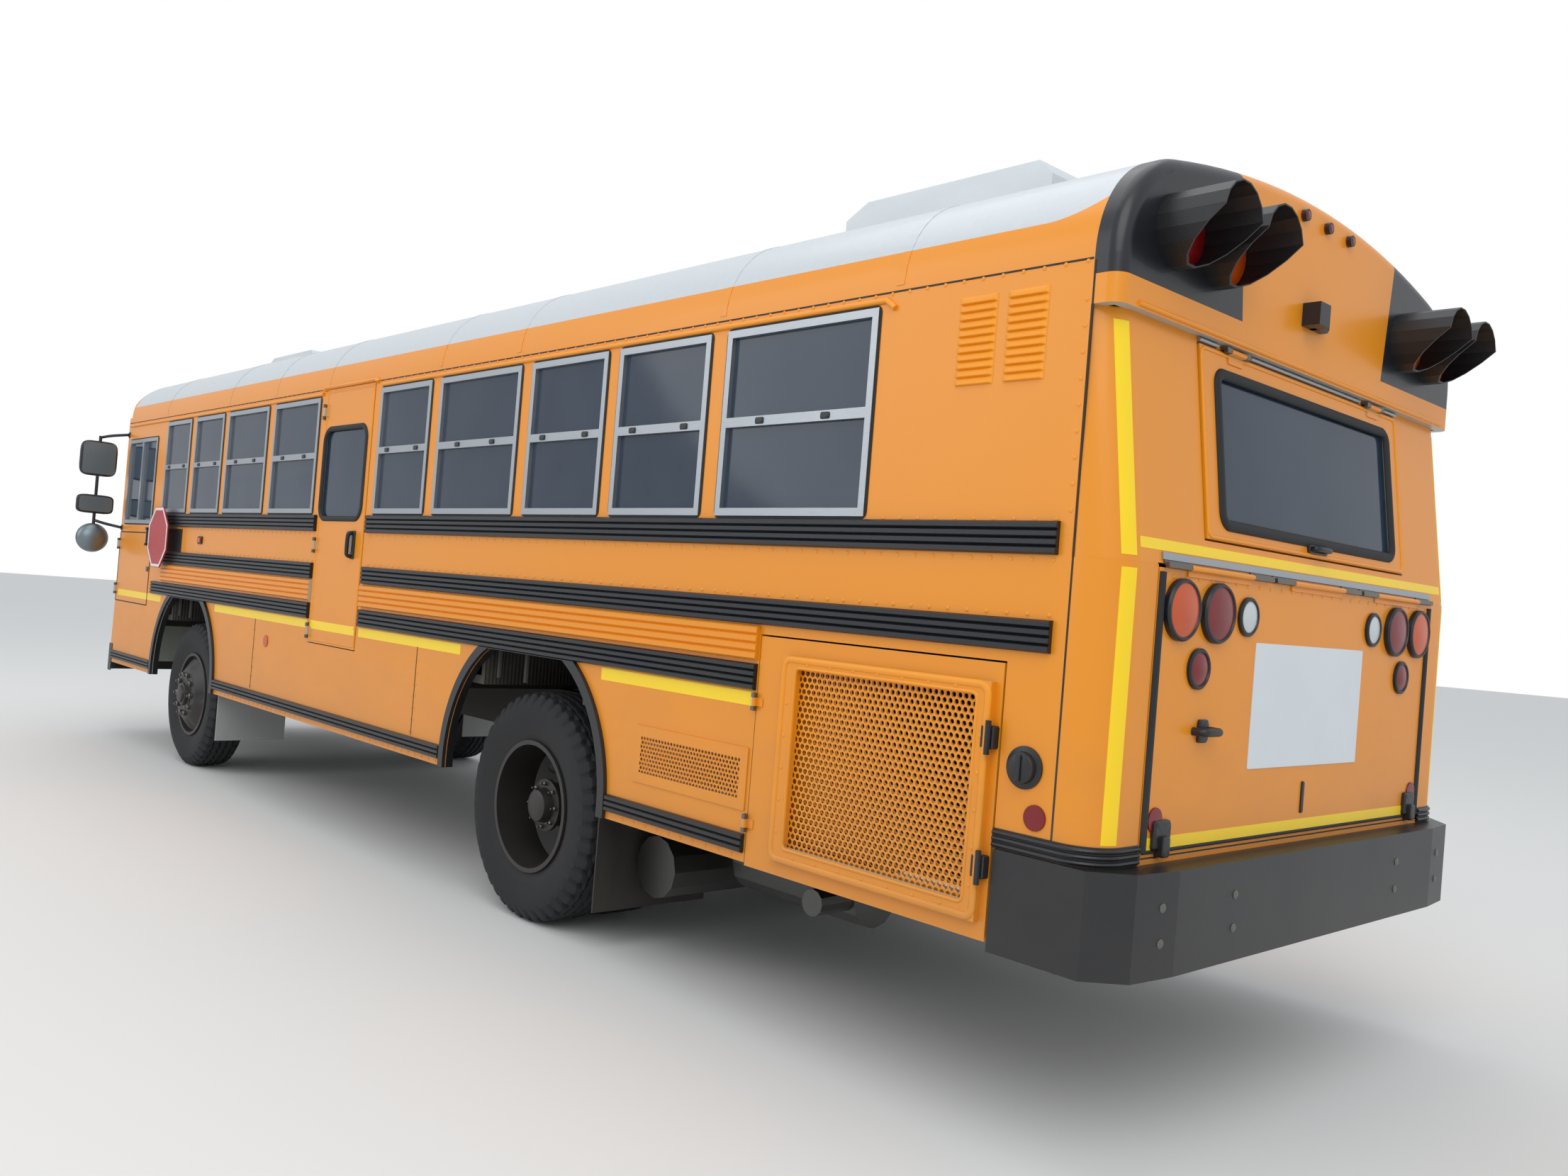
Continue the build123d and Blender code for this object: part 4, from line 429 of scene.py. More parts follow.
def bead(width, height):
    """A half-round section, width across and height proud, with its foot sunk into the skin."""
    turns = np.linspace(math.pi, 0, BEAD_STEPS)
    arc = np.stack([width / 2 * np.cos(turns), height * np.sin(turns)], -1)
    return np.concatenate([arc, [(width / 2, -SECTION_SINK), (-width / 2, -SECTION_SINK)]])


def flat_bar(width, height, sink=SECTION_SINK):
    """A flat section with eased edges."""
    half, step = width / 2, min(height, width / 2) * 0.15
    return np.array([(-half, -sink), (-half, height - step), (-half + step, height), (half - step, height),
                     (half, height - step), (half, -sink)])


def gasket(box, radius, section, place, grow=0.0, steps=4):
    """A section carried round a box with round corners, which a margin makes larger first."""
    u0, u1, v0, v1 = box
    outline = rounded(u0 - grow, u1 + grow, v0 - grow, v1 + grow, radius, steps)
    return strip(outline, section, place, closed=True)


def plate(box, height, place, radius=0.004):
    """A flat plate with round corners and an eased rim: its outline shrinks as it rises over the rim."""
    u0, u1, v0, v1 = box
    outline = rounded(*box, radius, 4)
    outline = np.concatenate([outline, outline[:1]])
    centre = np.array([(u0 + u1) / 2, (v0 + v1) / 2])
    reach = np.abs(outline - centre).max(0)
    ease = min(height * 0.4, radius * 0.6)
    rings = [(0.0, -PLATE_SINK), (1.0, -PLATE_SINK), (1.0, height - ease), (1 - ease / reach, height),
             (0.0, height)]
    flats = [(centre + (outline - centre) * share, level) for share, level in rings]
    return lattice(np.stack([place(*flat.T, level + 0 * flat[:, 0]) for flat, level in flats]))


def relief(u, v, height, place):
    """A sheet over a grid of places whose top follows a height field, closed by its flat underside."""
    grid_u, grid_v = np.meshgrid(u, v, indexing="ij")
    lift = height(grid_u, grid_v)
    top = place(grid_u, grid_v, lift)
    under = place(grid_u, grid_v, np.full_like(lift, -RELIEF_SINK))
    rim = [lattice(np.stack([top[0], under[0]])), lattice(np.stack([under[-1], top[-1]])),
           lattice(np.stack([under[:, 0], top[:, 0]])), lattice(np.stack([top[:, -1], under[:, -1]]))]
    return merge([lattice(top), lattice(under[::-1]), *rim])


def turned(profile, centre, axis, steps=48):
    """A profile of (along, radius) points turned about a level unit axis through centre: a point sits at centre +
    along * axis + radius * (side * cos + top * sin)."""
    axis = np.asarray(axis, float)
    side = np.cross((0, 0, 1), axis)
    side /= np.linalg.norm(side)
    top = np.cross(axis, side)
    turns = np.linspace(0, 2 * math.pi, steps + 1)
    profile = np.asarray(profile, float)
    ring = side[None] * np.cos(turns)[:, None] + top[None] * np.sin(turns)[:, None]
    points = np.asarray(centre, float) + profile[:, None, :1] * axis + profile[:, None, 1:] * ring[None]
    return lattice(points)


def bar(points, radius, steps=10):
    """A round bar along a smooth path: circles of one radius across the path's direction, turned from the axis
    that the path keeps furthest from, and closed at both ends."""
    points = np.asarray(points, float)
    run = np.gradient(points, axis=0)
    run /= np.linalg.norm(run, axis=1, keepdims=True)
    side = np.cross(run, np.eye(3)[np.abs(run).max(0).argmin()])
    side /= np.linalg.norm(side, axis=1, keepdims=True)
    top = np.cross(side, run)
    turns = np.linspace(0, 2 * math.pi, steps, endpoint=False)[None, :, None]
    return tube(points[:, None] + radius * (side[:, None] * np.cos(turns) + top[:, None] * np.sin(turns)))


def smooth_path(points, count=24):
    """Points eased along a route: a Catmull-Rom curve through the given points."""
    p = np.asarray(points, float)
    p = np.concatenate([p[:1] * 2 - p[1:2], p, p[-1:] * 2 - p[-2:-1]])
    where = np.linspace(0, len(points) - 1.000001, count)
    i = where.astype(int)
    t = (where - i)[:, None]
    a, b, c, d = p[i], p[i + 1], p[i + 2], p[i + 3]
    return 0.5 * (2 * b + (c - a) * t + (2 * a - 5 * b + 4 * c - d) * t ** 2 + (3 * b - a - 3 * c + d) * t ** 3)


def studs(u, v, place, radius, height, sides=6):
    """Low domes at many places: each is three rings of a small dome, written in the surface's own directions."""
    u, v = np.broadcast_arrays(np.asarray(u, float), np.asarray(v, float))
    u, v = u.ravel(), v.ravel()
    turns = np.linspace(0, 2 * math.pi, sides + 1)
    rings = [(1.0, -0.001), (1.0, height * 0.25), (0.62, height * 0.85), (0.0, height)]
    spread = np.array([[(r * math.cos(t), r * math.sin(t)) for t in turns] for r, _ in rings]) * radius
    lift = np.array([[h] * (sides + 1) for _, h in rings])
    flat_u = u[:, None, None] + spread[None, ..., 0]
    flat_v = v[:, None, None] + spread[None, ..., 1]
    points = place(flat_u, flat_v, lift[None] + 0 * flat_u)
    each = lattice(points[0])[1]
    count = points.shape[1] * points.shape[2]
    quads = (each[None] + np.arange(len(u))[:, None, None] * count).reshape(-1, 4)
    return points.reshape(-1, 3), quads


def rivets(spots, place, trim):
    """Rivets of the set size at flat points."""
    return studs(spots[:, 0], spots[:, 1], place, trim.rivet_radius, trim.rivet_height)


def pillow(centre, half_sizes, power, steps=(16, 28), lean=0.0):
    """A superellipsoid: each axis is half_size * sign(c) * |c| ** power of the angles' sines and cosines. Lean
    shifts X backwards with height."""
    up = np.linspace(-math.pi / 2, math.pi / 2, steps[0])[:, None]
    turn = np.linspace(-math.pi, math.pi, steps[1] + 1)[None]

    def curve(value):
        return np.sign(value) * np.abs(value) ** power

    x = curve(np.cos(up)) * curve(np.cos(turn)) * half_sizes[0]
    y = curve(np.cos(up)) * curve(np.sin(turn)) * half_sizes[1]
    z = curve(np.sin(up)) * half_sizes[2] + 0 * turn
    return lattice(np.stack([x - lean * z, y, z], -1) + np.asarray(centre, float))


# Sizes and colours that a user would change
def colour(name, description, value):
    return bpy.props.FloatVectorProperty(name=name, description=description, default=value, subtype="COLOR", min=0,
                                         max=1)


def length(name, description, value):
    return bpy.props.FloatProperty(name=name, description=description, default=value, unit="LENGTH", min=0,
                                   precision=4)


def count(name, description, value, least):
    return bpy.props.IntProperty(name=name, description=description, default=value, min=least)


def strength(name, description, value):
    return bpy.props.FloatProperty(name=name, description=description, default=value, min=0)


class BusColours(bpy.types.PropertyGroup):
    """Colours of the bus's paint, trim and lamps."""

    body: colour("Body paint", "Orange-yellow gloss paint of the outer panels", tone(232, 144, 22))
    roof: colour("Roof paint", "White paint of the roof", tone(198, 205, 210))
    cabin: colour("Cabin lining", "Pale lining inside the panels", tone(176, 180, 172))
    trim: colour("Black trim", "Satin black of rub rails, bumpers and lamp panels", tone(22, 25, 30))
    rubber: colour("Rubber", "Tyres, seals and flaps", tone(24, 25, 27))
    dust: colour("Road dust", "Pale dust on the lower parts", tone(118, 106, 88))
    metal: colour("Aluminium", "Window frames and drip rails", tone(176, 181, 186))
    tape: colour("Reflective tape", "Bright yellow tape along the body", tone(252, 206, 18))
    amber: colour("Amber lens", "Turn signals and inner warning lamps", tone(216, 84, 6))
    red: colour("Red lens", "Tail lamps and outer warning lamps", tone(132, 6, 12))
    seat: colour("Seat cover", "Vinyl of the benches", tone(44, 52, 60))


class BusWheels(bpy.types.PropertyGroup):
    """Sizes of tyres, rims and nuts."""

    groove: length("Tread depth", "Depth of the grooves in the tread", 0.016)
    lugs: count("Shoulder lugs", "Lugs round each shoulder of a tyre", 44, 8)
    nuts: count("Wheel nuts", "Nuts on each wheel", 10, 3)
    nut_circle: length("Nut circle", "Radius of the circle of wheel nuts", 0.1429)
    nut_size: length("Nut size", "Radius of one nut over its corners", 0.019)
    hand_holes: count("Hand holes", "Holes in each steel wheel's disc", 5, 2)
    hand_hole: length("Hand hole", "Radius of one hand hole", 0.031)


class BusTrim(bpy.types.PropertyGroup):
    """Sizes of rivets, seams, tape and perforation."""

    rivet_pitch: length("Rivet pitch", "Distance between rivets along a row", 0.075)
    rivet_radius: length("Rivet radius", "Radius of a rivet's head", 0.0075)
    rivet_height: length("Rivet height", "How far a rivet stands proud", 0.003)
    seam: length("Seam width", "Width of a dark joint between panels", 0.006)
    tape_width: length("Tape width", "Width of the reflective tape", 0.05)
    hole_pitch: length("Perforation pitch", "Distance between the holes of a grille", 0.0238)
    hole_radius: length("Perforation radius", "Radius of one hole", 0.0086)


class BusStage(bpy.types.PropertyGroup):
    """The floor, light and camera round the bus."""

    floor: colour("Floor", "Pale studio floor", tone(226, 226, 224))
    floor_radius: length("Floor radius", "How far the floor reaches", 60.0)
    sun: strength("Lamps", "Strength of the soft lamps", 0.75)
    sky: strength("Fill light", "Strength of the light from all round", 0.8)


# Finishes
ROOF_EDGE_Z = 2.702
ROOF_SWEEP = 1.35            # how fast the white edge climbs towards the rear cap
ROOF_SWEEP_FROM = 0.35
CAP_TOP_START = 0.098        # where the rear cap's face has turned into its top
PANEL_LOW_Z = 2.52           # the black lamp panels: foot, inner edge there, its lean, and how far they reach
PANEL_INNER_Y = 0.527
PANEL_LEAN = 0.053 / 0.43
PANEL_REAR_END = 0.149
PANEL_FRONT_START = FRONT_SEAM + 0.03
ARCH_REACH = 0.72
ARCH_TOP_Z = 1.215
CABIN_MIDDLE_Z = 1.8
HOLE_ROWS = 0.866            # a row of holes as a share of the pitch
GRILLE_FIELD = (at(0.430), at(1.210), 0.690, 1.300)
VENT_FIELD = (at(1.486), at(2.083), 0.813, 0.957)
BLACK_HOLE = (0.01, 0.01, 0.01)
SIGN_BORDER = 0.02
SIGN_MARGIN = 0.006


def shaded(colour, share, lift=0.0):
    """A colour made darker or paler."""
    return [min(1.0, c * share + lift) for c in colour]


def lining(sheet):
    """1 on faces that look into the cabin: where the face's direction points towards the body's middle line."""
    n = sheet.axes(sheet.node("ShaderNodeTexCoord", {}, {}, "Normal"))
    p = sheet.axes()
    return (n[0] * p[0] + n[1] * p[1] + n[2] * (p[2] - CABIN_MIDDLE_Z)).below(0.0)


def roof_share(x, z):
    """1 above the white roof's edge, which climbs towards the rear cap by ROOF_SWEEP * (start - x)^2."""
    rise = (ROOF_SWEEP_FROM + TAIL_X - x).most(0.0)
    along = x.below(at(FRONT_SEAM) - 0.05) * x.above(at(CAP_TOP_START))
    return (z - (rise * rise * ROOF_SWEEP + ROOF_EDGE_Z)).above(0.0) * along


def panel_share(x, y, z, end):
    """1 on the black panels round the warning lamps, outside an edge that leans outward with height."""
    inner = (z - PANEL_LOW_Z) * PANEL_LEAN + PANEL_INNER_Y
    near = x.below(at(PANEL_REAR_END)) if end < 0 else x.above(at(PANEL_FRONT_START))
    return (abs(y) - inner).above(0.0) * z.above(PANEL_LOW_Z) * near


def arch_share(x, y, z):
    """1 inside the skins' thickness over the wheels, where the photograph shows the arches' black edge."""
    near = [abs(x - axle_place(node)[0]).below(ARCH_REACH) for node in ("tyre_rear_left", "tyre_front_left")]
    return abs(y).below(HALF - 0.003) * z.below(ARCH_TOP_Z) * (near[0] + near[1])


def hole_share(x, z, field, pitch, radius):
    """1 inside the round holes of a field (x0, x1, z0, z1), every other row shifted by half a pitch."""
    x0, x1, z0, z1 = field
    level = z * (1 / (pitch * HOLE_ROWS))
    shift = (level.math("FLOOR") % 2.0) * 0.5
    u = ((x * (1 / pitch) + shift) % 1.0 - 0.5) * pitch
    v = (level % 1.0 - 0.5) * (pitch * HOLE_ROWS)
    return (u * u + v * v).root().below(radius) * (x.above(x0) * x.below(x1) * z.above(z0) * z.below(z1))


def body_paint(name, colours, roof=False, lamp_panel=0, holes=None, inside=True):
    """Gloss paint with faint waves and dust. Roof adds the white top, lamp_panel (-1 rear, 1 front) the black
    panels round the warning lamps, and holes (field, pitch, radius) a grille."""
    sheet = Sheet(name, coat=0.12)
    x, y, z = sheet.axes()
    wave = sheet.noise(0.9, 2.0)
    speck = sheet.noise(45.0, 4.0)
    dirt = dust(sheet, 0.5, 0.75) * 0.26
    paint = sheet.mix(wave * 0.22, colours.body, shaded(colours.body, 0.86))
    if roof:
        paint = sheet.mix(roof_share(x, z), paint, sheet.mix(speck * 0.12, colours.roof, colours.dust))
    if lamp_panel:
        paint = sheet.mix(panel_share(x, y, z, lamp_panel), paint, colours.trim)
    paint = sheet.mix(dirt, paint, colours.dust)
    if inside:
        paint = sheet.mix(lining(sheet), paint, colours.cabin)
        paint = sheet.mix(arch_share(x, y, z), paint, colours.rubber)
    if holes:
        hole = hole_share(x, z, *holes)
        sheet.set("Alpha", 1.0 - hole)
        paint = sheet.mix(hole, paint, BLACK_HOLE)
    return sheet.finish(paint, 0.3 + dirt * 0.5 + speck * 0.08, wave + speck * 0.004, 0.003)


def satin(name, base, dust_colour, roughness, metallic=0.0, grain=220.0, depth=0.0006, low=0.45, reach=0.9,
          share=0.45):
    """A plain coloured finish with a fine grain and dust that grows towards the ground."""
    sheet = Sheet(name, metallic)
    broad = sheet.noise(2.2, 4.0)
    dirt = dust(sheet, low, reach) * share
    worn = sheet.mix(broad * 0.35, base, shaded(base, 1.5, 0.004))
    return sheet.finish(sheet.mix(dirt, worn, dust_colour), roughness + dirt * 0.4 + (broad - 0.5) * 0.14,
                        sheet.noise(grain, 2.0), depth)


def brushed(name, base, stretch=(1.0, 40.0, 40.0)):
    """Drawn aluminium: noise stretched along the bar, in colour, roughness and bump."""
    sheet = Sheet(name, metallic=0.9)
    line = sheet.noise(14.0, 3.0, stretch)
    haze = sheet.noise(1.7)
    return sheet.finish(sheet.mix(line * 0.4, base, shaded(base, 0.72)), 0.24 + line * 0.14 + haze * 0.12, line,
                        0.0004)


def glazing(name, base, alpha):
    """Window glass: a dark, smooth, partly clear sheet with a faint film of dust low on the pane."""
    sheet = Sheet(name)
    sheet.set("IOR", 1.5)
    film = sheet.noise(2.6, 5.0)
    low = ((2.05 - sheet.axes()[2]) * 0.8).clamped()
    smear = film * 0.08 + low * film * 0.10
    sheet.set("Alpha", alpha + smear)
    return sheet.finish(sheet.mix(smear, base, tone(150, 160, 170)), 0.06 + film * 0.05)


def lens(name, base, clear=False):
    """Moulded lamp plastic: fine ribs across the lens and a bright, uneven depth of colour."""
    sheet = Sheet(name, coat=0.15)
    y, z = sheet.axes()[1:]
    rib = ribs(y, LENS_PITCH) + ribs(z, LENS_PITCH)
    depth = sheet.noise(9.0, 2.0)
    dark = shaded(base, 0.82 if clear else 0.55)
    return sheet.finish(sheet.mix(depth * 0.6 + rib * 0.25, base, dark), 0.2 + depth * 0.1, rib, 0.0003)


def tyre_rubber(name, colours, axle_x, axle_z):
    """Black rubber: rings on the sidewall by distance from the axle, and pale dust low on the wall."""
    sheet = Sheet(name)
    x, _, z = sheet.axes()
    dx, dz = x - axle_x, z - axle_z
    run = (dx * dx + dz * dz).root()
    rings = ((run * 90.0) % 1.0).above(0.82) * run.below(0.46) * run.above(0.34)
    grain = sheet.noise(160.0)
    broad = sheet.noise(5.0, 4.0)
    grey = sheet.mix(broad * 0.5 + grain * 0.15, colours.rubber, shaded(colours.rubber, 1.7, 0.003))
    near_hub = ((0.4 - run) * 3.0).clamped() * broad
    return sheet.finish(sheet.mix(near_hub * 0.14, grey, colours.dust), 0.66 + broad * 0.24, rings + grain * 0.2,
                        0.0016)


def sign_face(name, colours):
    """The folded sign: red with a white border, by distance from its centre across an octagon's flats, and a black
    arm."""
    low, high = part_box("stop_sign")
    apothem = (high.z - low.z) / 2
    sheet = Sheet(name)
    x, _, z = sheet.axes()
    across = x - (low.x + apothem)
    u, v = abs(across), abs(z - (low.z + high.z) / 2)
    reach = u.most(v).most((u + v) * math.sqrt(0.5))
    grain = sheet.noise(60.0)
    rim = reach.above(apothem - SIGN_BORDER - SIGN_MARGIN) * reach.below(apothem - SIGN_MARGIN)
    face = sheet.mix(rim, tone(176, 20, 26), tone(226, 226, 224))
    face = sheet.mix(across.above(apothem), face, colours.trim)
    return sheet.finish(sheet.mix(grain * 0.12, face, colours.dust), 0.3 + grain * 0.15, grain, 0.0003)


def flap_rubber(name, colours):
    """Mud flaps: black ones behind the rear wheels and pale grey ones behind the front wheels, told apart by X."""
    sheet = Sheet(name)
    streak = sheet.noise(4.0, 4.0, (1.0, 3.0, 0.6))
    face = sheet.mix(sheet.axes()[0].above(0.0), colours.rubber, tone(168, 172, 172))
    return sheet.finish(sheet.mix(streak * 0.22, face, colours.dust), 0.55 + streak * 0.25, sheet.noise(90.0),
                        0.0006)


def ribbed_rubber(name, base, dust_colour):
    """Floor rubber with ribs along the aisle, from Y alone."""
    sheet = Sheet(name)
    rib = ribs(sheet.axes()[1], FLOOR_RIB) * 2.0
    grain = sheet.noise(30.0, 4.0)
    return sheet.finish(sheet.mix(grain * 0.3 + rib * 0.1, base, dust_colour), 0.6 + grain * 0.25, rib, 0.002)


def vinyl(name, base):
    """Seat vinyl: pebbled grain, and broad creases with paler patches that follow them."""
    sheet = Sheet(name, coat=0.1)
    pebble = sheet.node("ShaderNodeTexVoronoi", {}, {"Vector": sheet.place, "Scale": 260.0}, "Distance")
    crease = sheet.noise(7.0, 5.0)
    return sheet.finish(sheet.mix(crease * 0.5, base, shaded(base, 1.8, 0.01)), 0.42 + crease * 0.2,
                        pebble * 0.3 + crease, 0.0025)


def cooling_fins(name):
    """Radiator core: thin upright fins and level tubes, from X and Z."""
    sheet = Sheet(name, metallic=0.6)
    x, _, z = sheet.axes()
    fin = ribs(x, 1 / 160) * 2.0
    level = ((z * 70.0) % 1.0).above(0.7)
    grain = sheet.noise(8.0, 4.0)
    return sheet.finish(sheet.mix(fin * 0.6 + grain * 0.3, tone(64, 66, 66), tone(20, 20, 20)), 0.45 + grain * 0.3,
                        fin + level, 0.002)


def finish_set(colours, trim):
    """Every finish, made once, by name."""
    grille = (GRILLE_FIELD, trim.hole_pitch, trim.hole_radius)
    vent = (VENT_FIELD, trim.hole_pitch * 0.8, trim.hole_radius * 0.8)
    satins = {
        "white": ("unit_white", tone(206, 212, 216), 0.4, {"low": 2.9, "reach": 0.5, "share": 0.25}),
        "black": ("satin_black", colours.trim, 0.36, {"share": 0.10}),
        "rubber": ("black_rubber", colours.rubber, 0.66, {"grain": 120.0, "share": 0.14}),
        "steel_black": ("wheel_black", tone(22, 22, 24), 0.42, {"low": 0.2, "reach": 1.2, "share": 0.12}),
        "under": ("underbody_black", tone(34, 34, 34), 0.66,
                  {"grain": 60.0, "depth": 0.0015, "reach": 1.2, "share": 0.2}),
        "cast": ("cast_grey", tone(82, 86, 84), 0.6, {"metallic": 0.3, "grain": 90.0, "depth": 0.001}),
        "tape": ("reflective_tape", colours.tape, 0.3, {"grain": 500.0, "low": 0.3, "reach": 0.6, "share": 0.25}),
        "board": ("blank_board", tone(206, 212, 218), 0.42, {"grain": 300.0, "depth": 0.0002, "low": 0.2}),
        "seal": ("dark_sealant", tone(40, 36, 30), 0.7, {"grain": 300.0}),
        "plain_yellow": ("painted_trim", colours.body, 0.34, {"grain": 80.0, "depth": 0.0003, "low": 0.4}),
    }
    return {
        **{key: satin(name, base, colours.dust, roughness, **more)
           for key, (name, base, roughness, more) in satins.items()},
        "paint": body_paint("body_paint", colours),
        "roof_paint": body_paint("roof_paint", colours, roof=True),
        "tail_cap": body_paint("tail_cap_paint", colours, roof=True, lamp_panel=-1),
        "nose_cap": body_paint("nose_cap_paint", colours, roof=True, lamp_panel=1),
        "grille": body_paint("perforated_paint", colours, holes=grille),
        "vent": body_paint("perforated_vent_paint", colours, holes=vent, inside=False),
        "metal": brushed("drawn_aluminium", colours.metal),
        "steel": brushed("hinge_steel", tone(120, 118, 112)),
        "tank": brushed("tank_steel", tone(96, 96, 94), (6.0, 1.0, 6.0)),
        "mirror": brushed("mirror_silver", tone(128, 140, 146), (1.0, 1.0, 1.0)),
        "dark_glass": glazing("tinted_glass", tone(26, 44, 64), 0.86),
        "clear_glass": glazing("clear_glass", tone(70, 92, 96), 0.42),
        "red": lens("red_lens", colours.red),
        "amber": lens("amber_lens", colours.amber),
        "clear": lens("clear_lens", tone(205, 212, 214), clear=True),
        "flaps": flap_rubber("flap_rubber", colours),
        "floor": ribbed_rubber("floor_rubber", tone(36, 37, 38), colours.dust),
        "seat": vinyl("seat_vinyl", colours.seat),
        "radiator": cooling_fins("radiator_core"),
        "sign": sign_face("sign_red", colours),
        "tyre_front": tyre_rubber("front_tyre_rubber", colours, *axle_place("tyre_front_left")),
        "tyre_rear": tyre_rubber("rear_tyre_rubber", colours, *axle_place("tyre_rear_left")),
    }


def axle_place(node):
    """X and Z of the axle that a wheel's node turns on."""
    low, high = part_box(node)
    return (low.x + high.x) / 2, (low.z + high.z) / 2


NODE_FINISH = {
    "paint": ("side_panel_left", "side_panel_right", "window_band_left", "window_band_right", "rear_wall",
              "front_panel", "emergency_door", "driver_hatch", "rear_hatch", "engine_door"),
    "roof_paint": ("roof",), "tail_cap": ("rear_cap",), "nose_cap": ("front_cap",),
    "grille": ("radiator_door",), "vent": ("vent_grille",), "white": ("roof_units",),
    "black": ("arch_trims", "front_bumper", "rear_bumper", "rub_rails", "mirrors", "dash", "sign_bracket",
              "entrance_front", "entrance_rear", "marker_lamps"),
    "flaps": ("mud_flaps",),
    "under": ("chassis_frame", "front_axle", "rear_axle", "knuckle_left", "knuckle_right"),
    "steel_black": ("rim_front_left", "rim_front_right", "rim_rear_left", "rim_rear_right", "warning_lamps",
                    "tail_lamps"),
    "cast": ("engine_block",), "metal": ("window_frames",), "steel": ("hinges",), "tank": ("tanks",),
    "dark_glass": ("window_glass", "emergency_glass", "rear_hatch_glass"),
    "clear_glass": ("windshield", "entrance_front_glass", "entrance_rear_glass"),
    "floor": ("floor",), "seat": ("seats",), "radiator": ("radiator",), "sign": ("stop_sign",),
    "tyre_front": ("tyre_front_left", "tyre_front_right"), "tyre_rear": ("tyre_rear_left", "tyre_rear_right"),
}


class BUS_OT_finish_frame(bpy.types.Operator):
    """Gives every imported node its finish"""

    bl_idname = "bus.finish_frame"
    bl_label = "Finish the frame"

    def execute(self, context):
        finishes.update(finish_set(context.scene.bus_colours, context.scene.bus_trim))
        bare = set(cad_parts)
        for key, names in NODE_FINISH.items():
            for name in names:
                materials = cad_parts[name].data.materials
                materials.clear()
                materials.append(finishes[key])
                bare.discard(name)
        if bare:
            raise ValueError(f"no finish for {sorted(bare)}")
        return {"FINISHED"}


# Wheels. A hub's outline gives (out of the wheel's face, radius).
WHEELS = (("front_left", 1), ("front_right", -1), ("rear_left", 1), ("rear_right", -1))
TREAD_HALF = 0.108
TREAD_DROP = 0.010           # how far the tread falls off at its shoulders
TREAD_GROOVES = (-0.066, -0.022, 0.022, 0.066)
NOTCH_FROM = 0.080
BEAD_RADIUS = 0.288
RIM_HALF = 0.1205
HAND_HOLE_CIRCLE = 0.226
CUP_DEPTH = 0.016
FRONT_HUB = ((-0.10, 0.0), (-0.10, 0.165), (-0.02, 0.165), (-0.015, 0.118), (0.004, 0.118), (0.006, 0.082),
             (0.026, 0.078), (0.030, 0.062), (0.042, 0.058), (0.0455, 0.045), (0.0458, 0.0))
REAR_HUB = ((-0.10, 0.0), (-0.10, 0.165), (-0.02, 0.165), (-0.015, 0.125), (0.012, 0.122), (0.016, 0.104),
            (0.150, 0.098), (0.168, 0.092), (0.172, 0.118), (0.190, 0.118), (0.194, 0.080), (0.236, 0.070),
            (0.2445, 0.050), (0.2455, 0.0))
WHEEL_SETS = {"front": ((1.016,), 1.174, FRONT_HUB), "rear": ((1.025, 0.710), 0.8675, REAR_HUB)}
FLANGE_BOLTS = (0.185, 8, 0.098, 0.010)      # out of the face, count, circle, size


def tyre_shape(axle, centre_y, radius, groove, lugs):
    """A tyre as a grid of section points by turns. The tread's radius is R - groove * cut, where cut is 1 in four
    zigzag grooves |y - (y0 + 0.004 tri(lugs a))| < w and in the notches between the shoulder lugs."""
    turns = np.linspace(0, 2 * math.pi, lugs * 6 + 1)
    y_tread = np.linspace(-TREAD_HALF, TREAD_HALF, 37)
    crown = radius - TREAD_DROP * (np.abs(y_tread) / TREAD_HALF) ** 6
    bulge = np.linspace(0, 1, 7)[:-1]
    wall_y = 0.104 + 0.0345 * np.sin(bulge * math.pi * 0.62) * (1 - 0.15 * bulge)
    wall_r = BEAD_RADIUS + (radius - 0.022 - BEAD_RADIUS) * bulge
    y = np.concatenate([[-0.0], -wall_y, y_tread, wall_y[::-1], [0.0]])
    r = np.concatenate([[BEAD_RADIUS], wall_r, crown, wall_r[::-1], [BEAD_RADIUS]])
    lug = turns * lugs / (2 * math.pi)
    zig = y[:, None] + 0.008 * (np.abs(lug % 1.0 - 0.5) * 2 - 0.5)[None]
    cut = np.zeros((len(y), len(turns)))
    for middle in TREAD_GROOVES:
        cut = np.maximum(cut, np.clip(2.2 - np.abs(zig - middle) / 0.0032, 0, 1))
    notch = ((lug + 0.25) % 1.0 < 0.34)[None] & (np.abs(y) > NOTCH_FROM)[:, None]
    on_tread = (r > radius - 0.02)[:, None]
    depth = r[:, None] - groove * np.maximum(cut, notch) * on_tread
    return lattice(np.stack([axle + depth * np.cos(turns)[None], centre_y + y[:, None] + 0 * depth,
                             radius + depth * np.sin(turns)[None]], -1))


